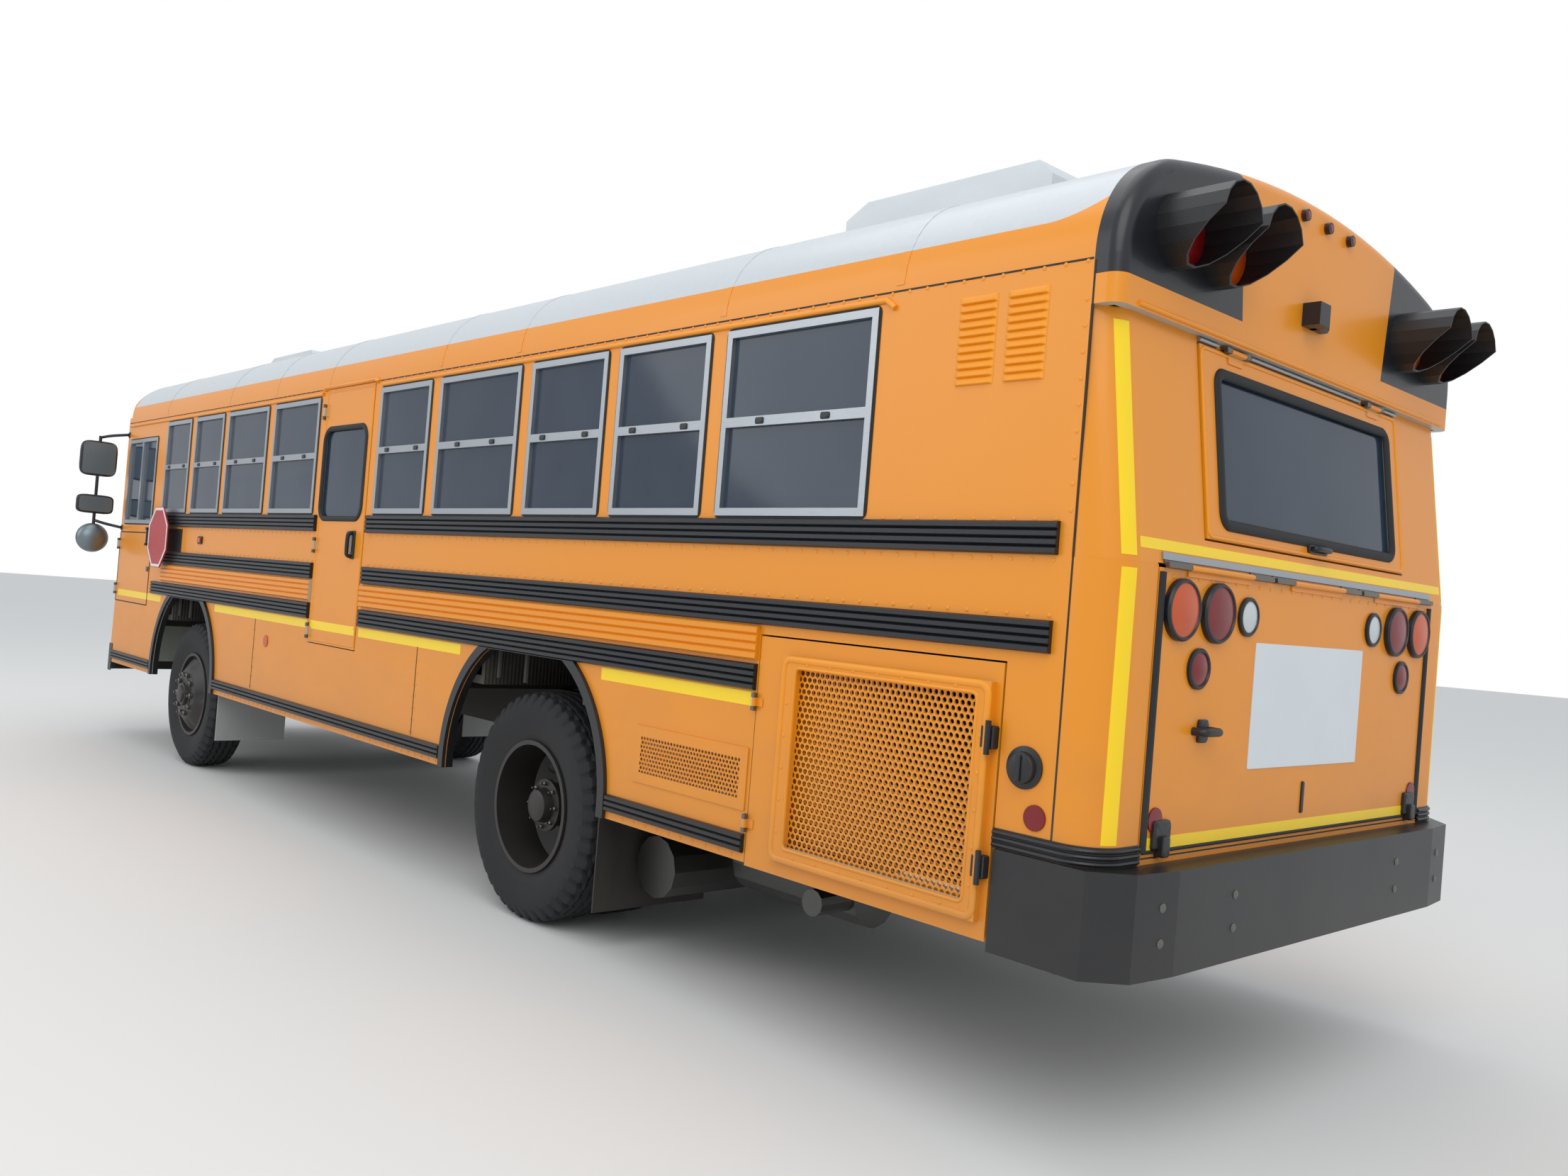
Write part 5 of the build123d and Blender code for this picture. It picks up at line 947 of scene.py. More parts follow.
def rim_shape(axle, centre_y, face_y, radius, holes, hole_radius):
    """A pressed wheel as a closed section turned about the axle: lip, well, dished disc and back. Round each hand
    hole the disc's places move back by CUP_DEPTH * clip(1.4 - distance / hole radius, 0, 1)."""
    half, toward = RIM_HALF, 1 if face_y > centre_y else -1
    face = abs(face_y - centre_y)
    section = [(half, 0.276), (half, 0.296), (half - 0.010, 0.2975), (half - 0.016, 0.2865),
               (-half + 0.016, 0.2865), (-half + 0.010, 0.2975), (-half, 0.296), (-half, 0.276)]
    back = [(0.084, 0.272), (0.030, 0.205), (0.012, 0.178), (0.012, 0.085), (-0.001, 0.085), (-0.001, 0.150)]
    disc = [(0.0, 0.176), (0.006, 0.186), (0.016, 0.200), (0.028, 0.216), (0.040, 0.232), (0.052, 0.248),
            (0.062, 0.262), (0.066, 0.272)]
    disc_start = len(section) + len(back)
    section = np.array(section + [(face - inset, r) for inset, r in back + disc] + [(half, 0.276)])
    turns = np.linspace(0, 2 * math.pi, 121)
    along, r = section[:, :1] + 0 * turns[None], section[:, 1:] + 0 * turns[None]
    spoke = (turns * holes / (2 * math.pi)) % 1.0 - 0.5
    off = np.hypot(r - HAND_HOLE_CIRCLE, spoke[None] * 2 * math.pi / holes * HAND_HOLE_CIRCLE)
    in_disc = (np.arange(len(section)) >= disc_start)[:, None]
    along = along - np.clip(1.4 - off / hole_radius, 0, 1) * in_disc * CUP_DEPTH
    return lattice(np.stack([axle + r * np.cos(turns)[None], centre_y + toward * along,
                             radius + r * np.sin(turns)[None]], -1))


def nut_ring(axle, y, sign, radius, count, circle, size):
    """Wheel nuts: six-sided rings with a domed end, placed round a circle."""
    nut = [(0.0, 0.0), (0.0, size), (0.018, size), (0.023, size * 0.7), (0.024, size * 0.5), (0.036, size * 0.45),
           (0.038, 0.0)]
    turns = np.arange(count) * 2 * math.pi / count
    return merge([turned(nut, (axle + circle * math.cos(a), y, radius + circle * math.sin(a)), (0, sign, 0), 6)
                  for a in turns])


class BUS_OT_build_wheels(bpy.types.Operator):
    """Makes the tyres with their tread, the steel wheels, hubs and nuts"""

    bl_idname = "bus.build_wheels"
    bl_label = "Build wheels"

    def execute(self, context):
        sizes = context.scene.bus_wheels
        for name, sign in WHEELS:
            end, body = name.split("_")[0], f"wheel_{name}"
            axle, height = axle_place(f"tyre_{name}")
            centres, face, hub = WHEEL_SETS[end]
            tyres = [tyre_shape(axle, sign * y, height, sizes.groove, sizes.lugs) for y in centres]
            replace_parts(piece(f"tread_{name}", tyres, body, f"tyre_{end}", angle=32), f"tyre_{name}")
            rims = [rim_shape(axle, sign * y, sign * face, height, sizes.hand_holes, sizes.hand_hole)
                    for y in centres]
            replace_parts(piece(f"wheel_{name}", rims, body, "steel_black"), f"rim_{name}")
            hub = turned(hub, (axle, sign * face, height), (0, sign, 0), 56)
            piece(f"hub_{name}", hub, body, "steel_black", angle=28)
            nuts = [nut_ring(axle, sign * (face + 0.001), sign, height, sizes.nuts, sizes.nut_circle,
                             sizes.nut_size)]
            if end == "rear":
                lift, *bolts = FLANGE_BOLTS
                nuts.append(nut_ring(axle, sign * (face + lift), sign, height, *bolts))
            piece(f"nuts_{name}", nuts, body, "steel", smooth=False)
        return {"FINISHED"}


# Sides, in stations and heights. A box is (start, end, low, high), a drip rail (width, height, path).
SIDES = (("left", 1), ("right", -1))
LEFT_WINDOWS = ((0.969, 1.742), (1.841, 2.439), (2.526, 3.130), (3.226, 4.011), (4.110, 4.703), (5.530, 6.246),
                (6.350, 7.092), (7.179, 7.770), (7.872, 8.428))
RIGHT_EXTRA = (4.800, 5.440)
DRIVER_WINDOW = (8.659, 9.389, 1.740, 2.421)
ENTRANCE_SPAN = (8.633, 9.427)
SEAL_MARGIN = 0.004
CATCH_Z = 2.175
CATCH_SHIFT = 0.17
DRIP_Z = 2.541
DRIP_REAR = (0.022, 0.014, ((0.90, DRIP_Z - 0.03), (0.94, DRIP_Z), (4.70, DRIP_Z)))
DRIP_RAILS = {
    "left": (DRIP_REAR, (0.022, 0.014, ((5.50, DRIP_Z), (9.44, DRIP_Z))),
             (0.022, 0.020, ((4.757, 2.560), (4.775, 2.574), (5.460, 2.574), (5.480, 2.560)))),
    "right": (DRIP_REAR, (0.022, 0.014, ((5.50, DRIP_Z), (8.58, DRIP_Z))),
              (0.022, 0.014, ((4.70, DRIP_Z), (5.50, DRIP_Z))), (0.030, 0.030, ((8.60, 2.470), (9.46, 2.470)))),
}
TAPE_Z = 1.172
TAPE_SPAN = (1.445, 9.42)
TAPE_GAPS = [(2.40, 3.60), (7.08, 8.28)]
RIVET_ROWS = ((1.707, 0.21, 9.40), (1.5485, 0.21, 9.40), (2.560, 0.17, 9.40), (0.608, 1.50, 9.40),
              (1.8235, 0.21, 0.95))              # height, start, end
RIVET_COLUMNS = {"left": (0.165, 9.455), "right": (0.165,)}
ARCH_GAPS = [(2.24, 3.76), (6.92, 8.44)]
SKIRT_SEAMS = (4.046, 6.306)
SEAM_HEIGHT = 0.0012
SEAM_ENDS = {"left": 9.47, "right": 8.59}
LOUVRES = ((0.293, 0.443), (0.480, 0.628))
LOUVRE_ROWS = (2.233, 2.510, 11)             # low, high, slots
SIDE_LAMP = (7.487, 1.632)
SIGN_BACKING = (7.90, 8.29, 1.537, 1.7075)
DRIVER_LID_EDGE = (8.628, 9.473, 1.104, 1.668)
FILLER = (0.253, 1.108)
# Outlines of turned parts: (out of the skin, radius)
REFLECTOR = ((-0.002, 0.0), (-0.002, 0.038), (0.005, 0.037), (0.007, 0.0))
FILLER_CAP = ((-0.002, 0.0), (-0.002, 0.062), (0.006, 0.062), (0.009, 0.050), (0.010, 0.047), (0.026, 0.045),
              (0.031, 0.038), (0.032, 0.0))


def flank_gaps(side):
    """Spans of stations that flank rows step over: the side exit or the entrance."""
    if side == "left":
        return [(DOOR_SPAN[0] - 0.03, DOOR_SPAN[1] + 0.03)]
    return [(ENTRANCE_SPAN[0] - 0.04, 9.6)]


def spans_between(start, end, gaps):
    """The stretches of a run that are left when the gaps are taken out."""
    stretches = []
    for gap_start, gap_end in sorted(gaps):
        if gap_start > start:
            stretches.append((start, min(gap_start, end)))
        start = max(start, gap_end)
    if start < end:
        stretches.append((start, end))
    return stretches


def rivet_spots(side, pitch):
    """Rivets along the flank: rows under the rails and over the windows, and pairs beside each skirt seam."""
    spots = []
    for z, start, end in RIVET_ROWS:
        gaps = flank_gaps(side) + (ARCH_GAPS if z < 0.7 else [])
        spots += [row(np.arange(a, b, pitch), z) for a, b in spans_between(start, end, gaps)]
    beside = np.arange(0.72, 1.13, pitch * 0.8)
    spots += [column(seam + shift, beside) for seam in SKIRT_SEAMS for shift in (-0.016, 0.016)]
    spots += [column(station, np.arange(1.85, 2.5, pitch)) for station in RIVET_COLUMNS[side]]
    return np.concatenate(spots)


def shingle(share):
    """The outline of one pressed slot from 0 to 1 along its share of the pitch: a steep lip, then a slope back."""
    return np.clip(share * 6, 0, 1) * (1 - share) ** 0.7


def louvre(u0, u1, place):
    """Pressed louvres: out = 11.5 mm * (1 - share of the pitch) ** 0.7 within each slot, tapering at the ends."""
    low, high, slots = LOUVRE_ROWS

    def height(u, v):
        side = np.clip(np.minimum(u - u0, u1 - u) / 0.014, 0, 1)
        return 0.0008 + 0.0115 * side * shingle(((v - low) / ((high - low) / slots)) % 1.0)

    return relief(np.linspace(u0, u1, 17), np.linspace(low, high, slots * 7 + 1), height, place)


class BUS_OT_dress_sides(bpy.types.Operator):
    """Adds rivets, seams, tape, drip rails, louvres, lamps and caps along both flanks"""

    bl_idname = "bus.dress_sides"
    bl_label = "Dress the sides"

    def execute(self, context):
        trim = context.scene.bus_trim
        for side, sign in SIDES:
            skin = on_flank(sign)
            spots = rivet_spots(side, trim.rivet_pitch)
            piece(f"rivets_{side}", rivets(spots, skin, trim), "body", "plain_yellow")
            piece(f"drip_rails_{side}", [strip(path, bead(width, height), skin)
                                         for width, height, path in DRIP_RAILS[side]], "body", "plain_yellow")
            windows = LEFT_WINDOWS + (() if side == "left" else (RIGHT_EXTRA,))
            section = flat_bar(0.010, 0.0035)
            seals = [gasket((u0, u1, WINDOW_SILL_Z, WINDOW_HEAD_Z), 0.02, section, skin, SEAL_MARGIN)
                     for u0, u1 in windows]
            if side == "left":
                seals.append(gasket(DRIVER_WINDOW, 0.02, flat_bar(0.012, 0.0035), skin, SEAL_MARGIN))
            piece(f"window_seals_{side}", seals, "body", "rubber")
            catches = [plate(around((u0 + u1) / 2 + shift, CATCH_Z, 0.022, 0.012), 0.014, skin, 0.006)
                       for u0, u1 in windows for shift in (-CATCH_SHIFT, CATCH_SHIFT)]
            piece(f"sash_catches_{side}", catches, "body", "black")
            paths = [[(s, 0.700), (s, 1.150)] for s in SKIRT_SEAMS]
            paths += [[(0.145, 0.90), (0.145, 2.56)], [(0.152, 2.566), (SEAM_ENDS[side], 2.566)]]
            seams = [strip(path, flat_bar(trim.seam, SEAM_HEIGHT), skin) for path in paths]
            piece(f"panel_seams_{side}", seams, "body", "seal", smooth=False)
            low, high = TAPE_Z - trim.tape_width / 2, TAPE_Z + trim.tape_width / 2
            tape = [plate((a, b, low, high), 0.0012, skin, 0.002)
                    for a, b in spans_between(*TAPE_SPAN, flank_gaps(side) + TAPE_GAPS)]
            piece(f"tape_{side}", tape, "body", "tape", smooth=False)
            piece(f"louvres_{side}", [louvre(u0, u1, skin) for u0, u1 in LOUVRES], "body", "plain_yellow",
                  smooth=False)
            base = plate(around(*SIDE_LAMP, 0.043, 0.028), 0.010, skin, 0.008)
            piece(f"side_lamp_base_{side}", base, "body", "black", smooth=False)
            reflectors = [turned(REFLECTOR, (at(s), sign * HALF, z), (0, sign, 0), 32)
                          for s, z in ((0.206, 0.971), (6.10, 1.02))]
            piece(f"side_reflector_{side}", reflectors[0], "body", "red")
            lamp = plate(around(*SIDE_LAMP, 0.029, 0.016), 0.018, skin, 0.006)
            piece(f"side_lamps_{side}", [reflectors[1], lamp], "body", "amber")
        skin = on_flank(1)
        cap = turned(FILLER_CAP, (at(FILLER[0]), HALF, FILLER[1]), (0, 1, 0), 40)
        piece("filler_cap", [cap, plate(around(*FILLER, 0.008, 0.040), 0.040, skin, 0.005)], "body", "black")
        piece("sign_backing", plate(SIGN_BACKING, 0.0045, skin), "body", "black", smooth=False)
        piece("hatch_edge_seal", gasket(DRIVER_LID_EDGE, 0.01, flat_bar(0.008, 0.003), skin), "body", "rubber",
              smooth=False)
        return {"FINISHED"}


# Doors and lids
EXIT_GLASS = (4.858, 5.418, 1.804, 2.320)
EXIT_EDGE = (4.806, 5.430, 1.086, 2.545)
EXIT_HANDLE = (4.894, 4.942, 1.572, 1.732)
EXIT_RIVETS = (4.820, 5.419)
EXIT_PROUD = 0.002
GRILLE_FRAME = (0.375, 1.280, 0.637, 1.342)
GRILLE_OPENING = (0.424, 1.216, 0.684, 1.306)
GRILLE_PROUD = 0.0255
GRILLE_LATCH_Z = (0.80, 1.18)
DRIVER_CATCH = (8.665, 1.385)
ENTRANCE_LEAVES = (("rear", 8.639, 9.027), ("front", 9.033, 9.421))
ENTRANCE_PANES = ((0.520, 1.330), (1.420, 2.360))
ENTRANCE_STILE = 0.060
SWEEP_Z = 0.420


def lever(u, v, run, place, width=0.022):
    """A pull handle: a bar that rises from the skin, runs along it and returns."""
    route = [(u, v + run * share, lift) for share, lift in ((0.0, 0.0), (0.06, 0.030), (0.2, 0.038), (0.8, 0.038),
                                                           (0.94, 0.030), (1.0, 0.0))]
    return bar(laid(smooth_path(route, 22), place), width / 2)


class BUS_OT_dress_doors(bpy.types.Operator):
    """Adds gaskets, handles, latches and grille trim to the side exit, the lids and the entrance"""

    bl_idname = "bus.dress_doors"
    bl_label = "Dress the doors"

    def execute(self, context):
        trim = context.scene.bus_trim
        left, right = on_flank(1), on_flank(-1)
        piece("side_exit_gasket", gasket(EXIT_GLASS, 0.076, bead(0.032, 0.012), left, 0.006, 9), "side_exit",
              "rubber")
        piece("side_exit_edge", gasket(EXIT_EDGE, 0.012, bead(0.012, 0.006), left), "side_exit", "plain_yellow")
        piece("side_exit_handle", [plate(EXIT_HANDLE, 0.012, left, 0.01), lever(4.918, 1.582, 0.140, left)],
              "side_exit", "black")
        rows = np.arange(1.11, 2.53, trim.rivet_pitch)
        spots = np.concatenate([column(station, rows) for station in EXIT_RIVETS])
        piece("side_exit_rivets", rivets(spots, raised(left, EXIT_PROUD), trim), "side_exit", "plain_yellow")
        tape = plate((*EXIT_EDGE[:2], TAPE_Z - 0.025, TAPE_Z + 0.025), 0.0032, left, 0.002)
        piece("side_exit_tape", tape, "side_exit", "tape", smooth=False)

        rim = gasket(GRILLE_FRAME, 0.03, bead(0.024, 0.006), raised(left, GRILLE_PROUD), -0.010, 6)
        inner = gasket(GRILLE_OPENING, 0.02, bead(0.014, 0.007), raised(left, GRILLE_PROUD - 0.003), steps=5)
        piece("grille_frame_edge", [rim, inner], "radiator_lid", "plain_yellow")
        spots = [(u, v) for u in np.arange(0.400, 1.27, 0.108) for v in (0.663, 1.320)]
        spots += [(u, v) for v in np.arange(0.74, 1.29, 0.11) for u in (0.402, 1.246)]
        piece("grille_rivets", rivets(np.array(spots), raised(left, GRILLE_PROUD + 0.0005), trim), "radiator_lid",
              "plain_yellow")
        latches = []
        for z in GRILLE_LATCH_Z:
            grip = np.stack([np.full(8, 0.366), np.linspace(z - 0.05, z + 0.05, 8), np.full(8, 0.038)], -1)
            latches += [plate(around(0.376, z, 0.024, 0.034), 0.031, left, 0.006), bar(laid(grip, left), 0.009, 8)]
        piece("grille_latches", latches, "radiator_lid", "black")
        piece("driver_lid_catches", plate(around(*DRIVER_CATCH, 0.02, 0.02), 0.012, left, 0.008), "driver_lid",
              "steel")

        for name, a, b in ENTRANCE_LEAVES:
            body = f"entrance_{name}_leaf"
            width = (a + ENTRANCE_STILE, b - ENTRANCE_STILE)
            seals = [gasket((*width, *heights), 0.02, bead(0.016, 0.006), right, 0.008)
                     for heights in ENTRANCE_PANES]
            piece(f"entrance_{name}_seals", seals, body, "rubber")
            grab = b - ENTRANCE_STILE / 2 if name == "rear" else a + ENTRANCE_STILE / 2
            piece(f"entrance_{name}_grab", lever(grab, 1.15, 0.42, right), body, "steel")
            sweep = strip([(a + 0.004, SWEEP_Z), (b - 0.004, SWEEP_Z)], bead(0.030, 0.008), right)
            piece(f"entrance_{name}_sweep", sweep, body, "rubber")
        return {"FINISHED"}


# Tail. Lamps are (y, height, radius, depth, kind); a box is (start, end, low, high) in Y and heights.
TAIL_LAMPS = ((0.877, 1.596, 0.092, 0.022, "amber"), (0.667, 1.596, 0.092, 0.022, "red"),
              (0.470, 1.595, 0.062, 0.013, "clear"), (0.751, 1.426, 0.062, 0.013, "red"))
TAIL_REFLECTOR = (0.93, 0.985)
BOARD = (-0.400, 0.400, 1.115, 1.517)
LID_TAPE = (-0.985, 0.985, 0.890, 0.935)
LID_HANDLE = (0.672, 0.728, 1.205, 1.275)
LID_SLOT = (-0.009, 0.009, 0.955, 1.062)
LID_LATCH_Y = 0.90
HINGE_STRIP_Z = 1.7455
WALL_TAPE = (-1.10, 1.10, 1.760, 1.792)
TAPE_RISE = 0.0012
CORNER_TAPE_Y = (1.118, 1.166)
CORNER_TAPE_Z = ((0.925, 1.200, 1.700), (1.735, 2.000, 2.400))
CORNER_RAIL_Z = (0.872, 0.890, 0.908)
HATCH_GLASS = (-0.631, 0.631, 1.8767, 2.3331)
HATCH_EDGE = (-0.727, 0.727, 1.826, 2.405)
HATCH_GRIP = (-0.070, 0.070, 1.830, 1.862)
HATCH_PULL = ((-0.05, 1.846, 0.0), (-0.045, 1.846, 0.028), (0.045, 1.846, 0.028), (0.05, 1.846, 0.0))
HATCH_DRIPS = ((-0.74, -0.625), (-0.415, 0.415), (0.625, 0.74))
HATCH_DRIP_Z = 2.4265
BUMPER_BOLTS = np.array([(y, z) for y in (-1.0, -0.6, 0.6, 1.0) for z in (0.66, 0.76)])
on_engine_door = on_upright(TAIL_X)
on_hatch = raised(on_tail, 0.0062)


def domed(foot, start, rise, radius, count=9):
    """A lens outline: a flat back at foot, then start + rise * (1 - s^2) out of the face at s of its radius."""
    return [(foot, 0.0), (foot, radius)] + [(start + rise * (1 - s ** 2), radius * s)
                                            for s in np.linspace(1, 0, count)]


def round_lamps(lamps, place, lift, axis, dome):
    """Bezels, and lenses by kind, for the left and right of each lamp in a table."""
    bezels, lenses = [], {}
    for y, z, radius, depth, kind in lamps:
        bezel = [(-0.001, 0.0), (-0.001, radius), (depth * 0.7, radius), (depth, radius - 0.005),
                 (depth, radius - 0.011), (depth - 0.006, radius - 0.014), (depth - 0.006, 0.0)]
        glass = domed(depth - 0.010, depth - 0.004, dome, radius - 0.013)
        for sign in (-1, 1):
            centre = spot(place, sign * y, z, lift)
            bezels.append(turned(bezel, centre, axis))
            lenses.setdefault(kind, []).append(turned(glass, centre, axis))
    return bezels, lenses


def on_bumper(u, v, h):
    """Places on the rear bumper's face, which bends forward at both ends."""
    lean = np.clip(np.abs(u) - 0.931, 0, 1) * (0.020 / 0.19)
    return np.stack([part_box("rear_bumper")[0].x + lean - h, u + 0 * h, v + 0 * h], -1)


class BUS_OT_dress_tail(bpy.types.Operator):
    """Adds the tail's lamps, blank board, tape, handles, latches, gaskets and seams"""

    bl_idname = "bus.dress_tail"
    bl_label = "Dress the tail"

    def execute(self, context):
        trim = context.scene.bus_trim
        face = on_engine_door
        bezels, lenses = round_lamps(TAIL_LAMPS, face, 0.0, (-1, 0, 0), 0.007)
        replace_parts(piece("tail_lamp_bezels", bezels, "engine_lid", "black", angle=30), "tail_lamps")
        for kind, shapes in lenses.items():
            slot = "lamp_amber" if kind == "amber" else "lamp_red"
            piece(f"tail_lenses_{kind}", shapes, "engine_lid", kind, angle=30)
        y, z = TAIL_REFLECTOR
        piece("tail_reflectors", [turned(REFLECTOR, (TAIL_X, sign * y, z), (-1, 0, 0), 32) for sign in (-1, 1)],
              "engine_lid", "red")
        piece("blank_board", plate(BOARD, 0.0035, face, 0.006), "engine_lid", "board", smooth=False)
        piece("engine_lid_tape", plate(LID_TAPE, 0.0014, face, 0.003), "engine_lid", "tape", smooth=False)
        seals = [strip([(y, 0.895), (y, 1.700)], bead(0.032, 0.010), face) for y in (-0.984, 0.984)]
        seals.append(strip([(-0.985, 0.895), (0.985, 0.895)], bead(0.012, 0.006), face))
        piece("engine_lid_seals", seals, "engine_lid", "rubber")
        grip = lever(1.240, 0.650, 0.100, lambda u, v, h: face(v, u, h), 0.026)
        piece("engine_lid_handle", [plate(LID_HANDLE, 0.010, face, 0.01), grip], "engine_lid", "black")
        piece("engine_lid_slot", plate(LID_SLOT, 0.006, face, 0.006), "engine_lid", "black")
        latches = []
        for y in (-LID_LATCH_Y, LID_LATCH_Y):
            latches += [plate((y - 0.045, y + 0.045, 0.900, 0.985), 0.016, face, 0.01),
                        plate((y - 0.020, y + 0.020, 0.880, 0.940), 0.030, face, 0.006)]
        piece("engine_lid_latches", latches, "engine_lid", "black")
        spots = row(np.arange(-0.95, 0.951, trim.rivet_pitch), 1.690)
        piece("engine_lid_rivets", rivets(spots, face, trim), "engine_lid", "plain_yellow")

        hinge = strip([(-0.99, HINGE_STRIP_Z), (0.99, HINGE_STRIP_Z)], flat_bar(0.022, 0.006), on_tail)
        piece("hinge_strip", hinge, "body", "metal", smooth=False)
        tape = [plate(WALL_TAPE, TAPE_RISE, on_tail, 0.003)]
        for sign in (-1, 1):
            u = np.linspace(*sorted(sign * y for y in CORNER_TAPE_Y), 7)
            tape += [relief(u, np.array(v), lambda a, b: TAPE_RISE + 0 * a, on_tail) for v in CORNER_TAPE_Z]
        piece("tail_tape", tape, "body", "tape", smooth=False)
        arc = REAR_CORNER * math.pi / 2
        runs = np.concatenate([[-0.225], np.linspace(0, arc, 15), [arc + 0.090]])
        rails = [strip(row(runs, z), bead(0.017, 0.012), on_corner(sign))
                 for z in CORNER_RAIL_Z for sign in (-1, 1)]
        rails += [strip(row(runs, CORNER_RAIL_Z[1]), flat_bar(0.058, 0.004), on_corner(sign)) for sign in (-1, 1)]
        piece("corner_rails", rails, "body", "black")

        piece("hatch_gasket", gasket(HATCH_GLASS, 0.04, bead(0.036, 0.012), on_hatch, 0.008, 8),
              "rear_window_hatch", "rubber")
        piece("hatch_edge", gasket(HATCH_EDGE, 0.02, bead(0.012, 0.005), on_hatch, steps=5), "rear_window_hatch",
              "plain_yellow")
        pull = bar(laid(smooth_path(HATCH_PULL, 18), on_hatch), 0.009)
        piece("hatch_handle", [plate(HATCH_GRIP, 0.010, on_hatch, 0.008), pull], "rear_window_hatch", "black")
        drips = [strip([(a, HATCH_DRIP_Z), (b, HATCH_DRIP_Z)], bead(0.016, 0.014), on_tail)
                 for a, b in HATCH_DRIPS]
        piece("hatch_drip_rail", drips, "body", "metal")
        piece("rear_bumper_bolts", studs(*BUMPER_BOLTS.T, on_bumper, 0.014, 0.006, 12), "body", "steel")
        return {"FINISHED"}


# Roof and caps. A roof unit is (start, end, half width, drop of its lid below the higher unit's).
ROOF_SEAMS = (0.888, 1.790, 3.275, 4.046, 5.441, 6.275, 7.128, 8.500)
WARNING_YS = ((0.700, "amber"), (0.950, "red"))
WARNING_Z = 2.694
WARNING_RADIUS = 0.104
WARNING_PLACES = ((CAP_X - 0.029, -1), (NOSE_X - 0.096, 1))      # X and the way that the lamp faces
MARKER_YS = (-0.173, 0.0, 0.173)
MARKER_Z = 2.950
MARKER_DOME = ((-0.004, 0.0), (-0.004, 0.020), (0.010, 0.019), (0.017, 0.011), (0.0185, 0.0))
CAMERA_HOUSING = (-0.020, 0.090, 2.589, 2.666)
CAMERA_EYE = ((0.028, 0.0), (0.028, 0.022), (0.036, 0.021), (0.037, 0.012), (0.033, 0.010), (0.033, 0.0))
CAP_JOINT_Z = 2.449
ROOF_UNITS = ((0.95, 1.65, 0.40, 0.0), (7.78, 8.38, 0.33, 0.030))
UNIT_RIBS = 8
on_cap = on_upright(CAP_X)


def unit_ribs(start, end, half, top):
    """A roof unit's lid: 1.8 mm * sin(pi * share of the pitch) over each rib, fading at both sides."""
    pitch = (end - start) / UNIT_RIBS

    def height(x, y):
        side = np.clip((half - np.abs(y)) / 0.02, 0, 1)
        return -0.002 + 0.0018 * side * np.sin(((x - at(start)) / pitch) % 1.0 * math.pi)

    return relief(np.linspace(at(start), at(end), UNIT_RIBS * 8 + 1), np.linspace(-half, half, 9), height,
                  lambda x, y, h: np.stack([x, y, top + h], -1))


class BUS_OT_dress_roof(bpy.types.Operator):
    """Adds roof seams, warning lenses inside their hoods, marker lenses and the rear camera"""

    bl_idname = "bus.dress_roof"
    bl_label = "Dress the roof"

    def execute(self, context):
        run = CROWN_RADIUS * CROWN_HALF_ANGLE + CANT_RADIUS * (math.pi / 2 - CROWN_HALF_ANGLE)
        across = np.linspace(-run + 0.01, run - 0.01, 61)
        seams = [strip(column(s, across), flat_bar(0.034, 0.0022, 0.006), on_roof) for s in ROOF_SEAMS]
        piece("roof_seams", seams, "body", "roof_paint", smooth=False)
        glass = domed(0.0, 0.004, 0.012, WARNING_RADIUS, 10)
        for y, kind in WARNING_YS:
            lenses = [turned(glass, (x, sign * y, WARNING_Z), (facing, 0, 0), 40)
                      for sign in (-1, 1) for x, facing in WARNING_PLACES]
            piece(f"warning_lenses_{kind}", lenses, "body", kind, angle=30)
        markers = [turned(MARKER_DOME, (CAP_X - 0.002, y, MARKER_Z), (-1, 0, 0), 24) for y in MARKER_YS]
        piece("rear_markers", markers, "body", "red")
        eye = turned(CAMERA_EYE, (CAP_X, 0.035, 2.628), (-1, 0, 0), 28)
        piece("rear_camera", [plate(CAMERA_HOUSING, 0.030, on_cap, 0.010), eye], "body", "black")
        joint = strip(row(np.linspace(-1.12, 1.12, 31), CAP_JOINT_Z), bead(0.016, 0.009), on_cap)
        piece("cap_joint", joint, "body", "plain_yellow")
        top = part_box("roof_units")[1].z
        lids = [unit_ribs(start, end, half, top - drop) for start, end, half, drop in ROOF_UNITS]
        piece("roof_unit_ribs", lids, "body", "white", smooth=False)
        return {"FINISHED"}


# Nose, in Y and heights, with the wipers' points as (y, height, distance out of the nose)
NOSE_LAMPS = ((0.960, 0.930, 0.090, 0.012, "clear"), (0.740, 0.930, 0.090, 0.012, "clear"),
              (0.860, 1.130, 0.058, 0.012, "amber"))
NOSE_LAMP_PROUD = 0.024
WINDSHIELD = (0.030, 1.085, 1.570, 2.430)
WIPER_ARM = np.array([(0.20, 1.530, 0.030), (0.42, 1.75, 0.034), (0.66, 1.985, 0.022)])
WIPER_BLADE = ((0.50, 2.12, 0.016), (0.80, 1.84, 0.016))
WIPER_BOSS = ((0.0, 0.0), (0.0, 0.024), (0.030, 0.022), (0.036, 0.0))
NOSE_HATCH = (-0.52, 0.52, 0.86, 1.40)
NOSE_BEAD_Z = 1.500
NOSE_SEAM_Z = 0.800
SLAT_HALF = 0.46
SLAT_ROWS = (0.92, 1.34, 12)                 # low, high, slots


def nose_slat(_, z):
    """The slats' height, the same across: 1 mm, and 10 mm * shingle within each slot."""
    low, high, slots = SLAT_ROWS
    return 0.001 + 0.010 * shingle(((z - low) / ((high - low) / slots)) % 1.0)


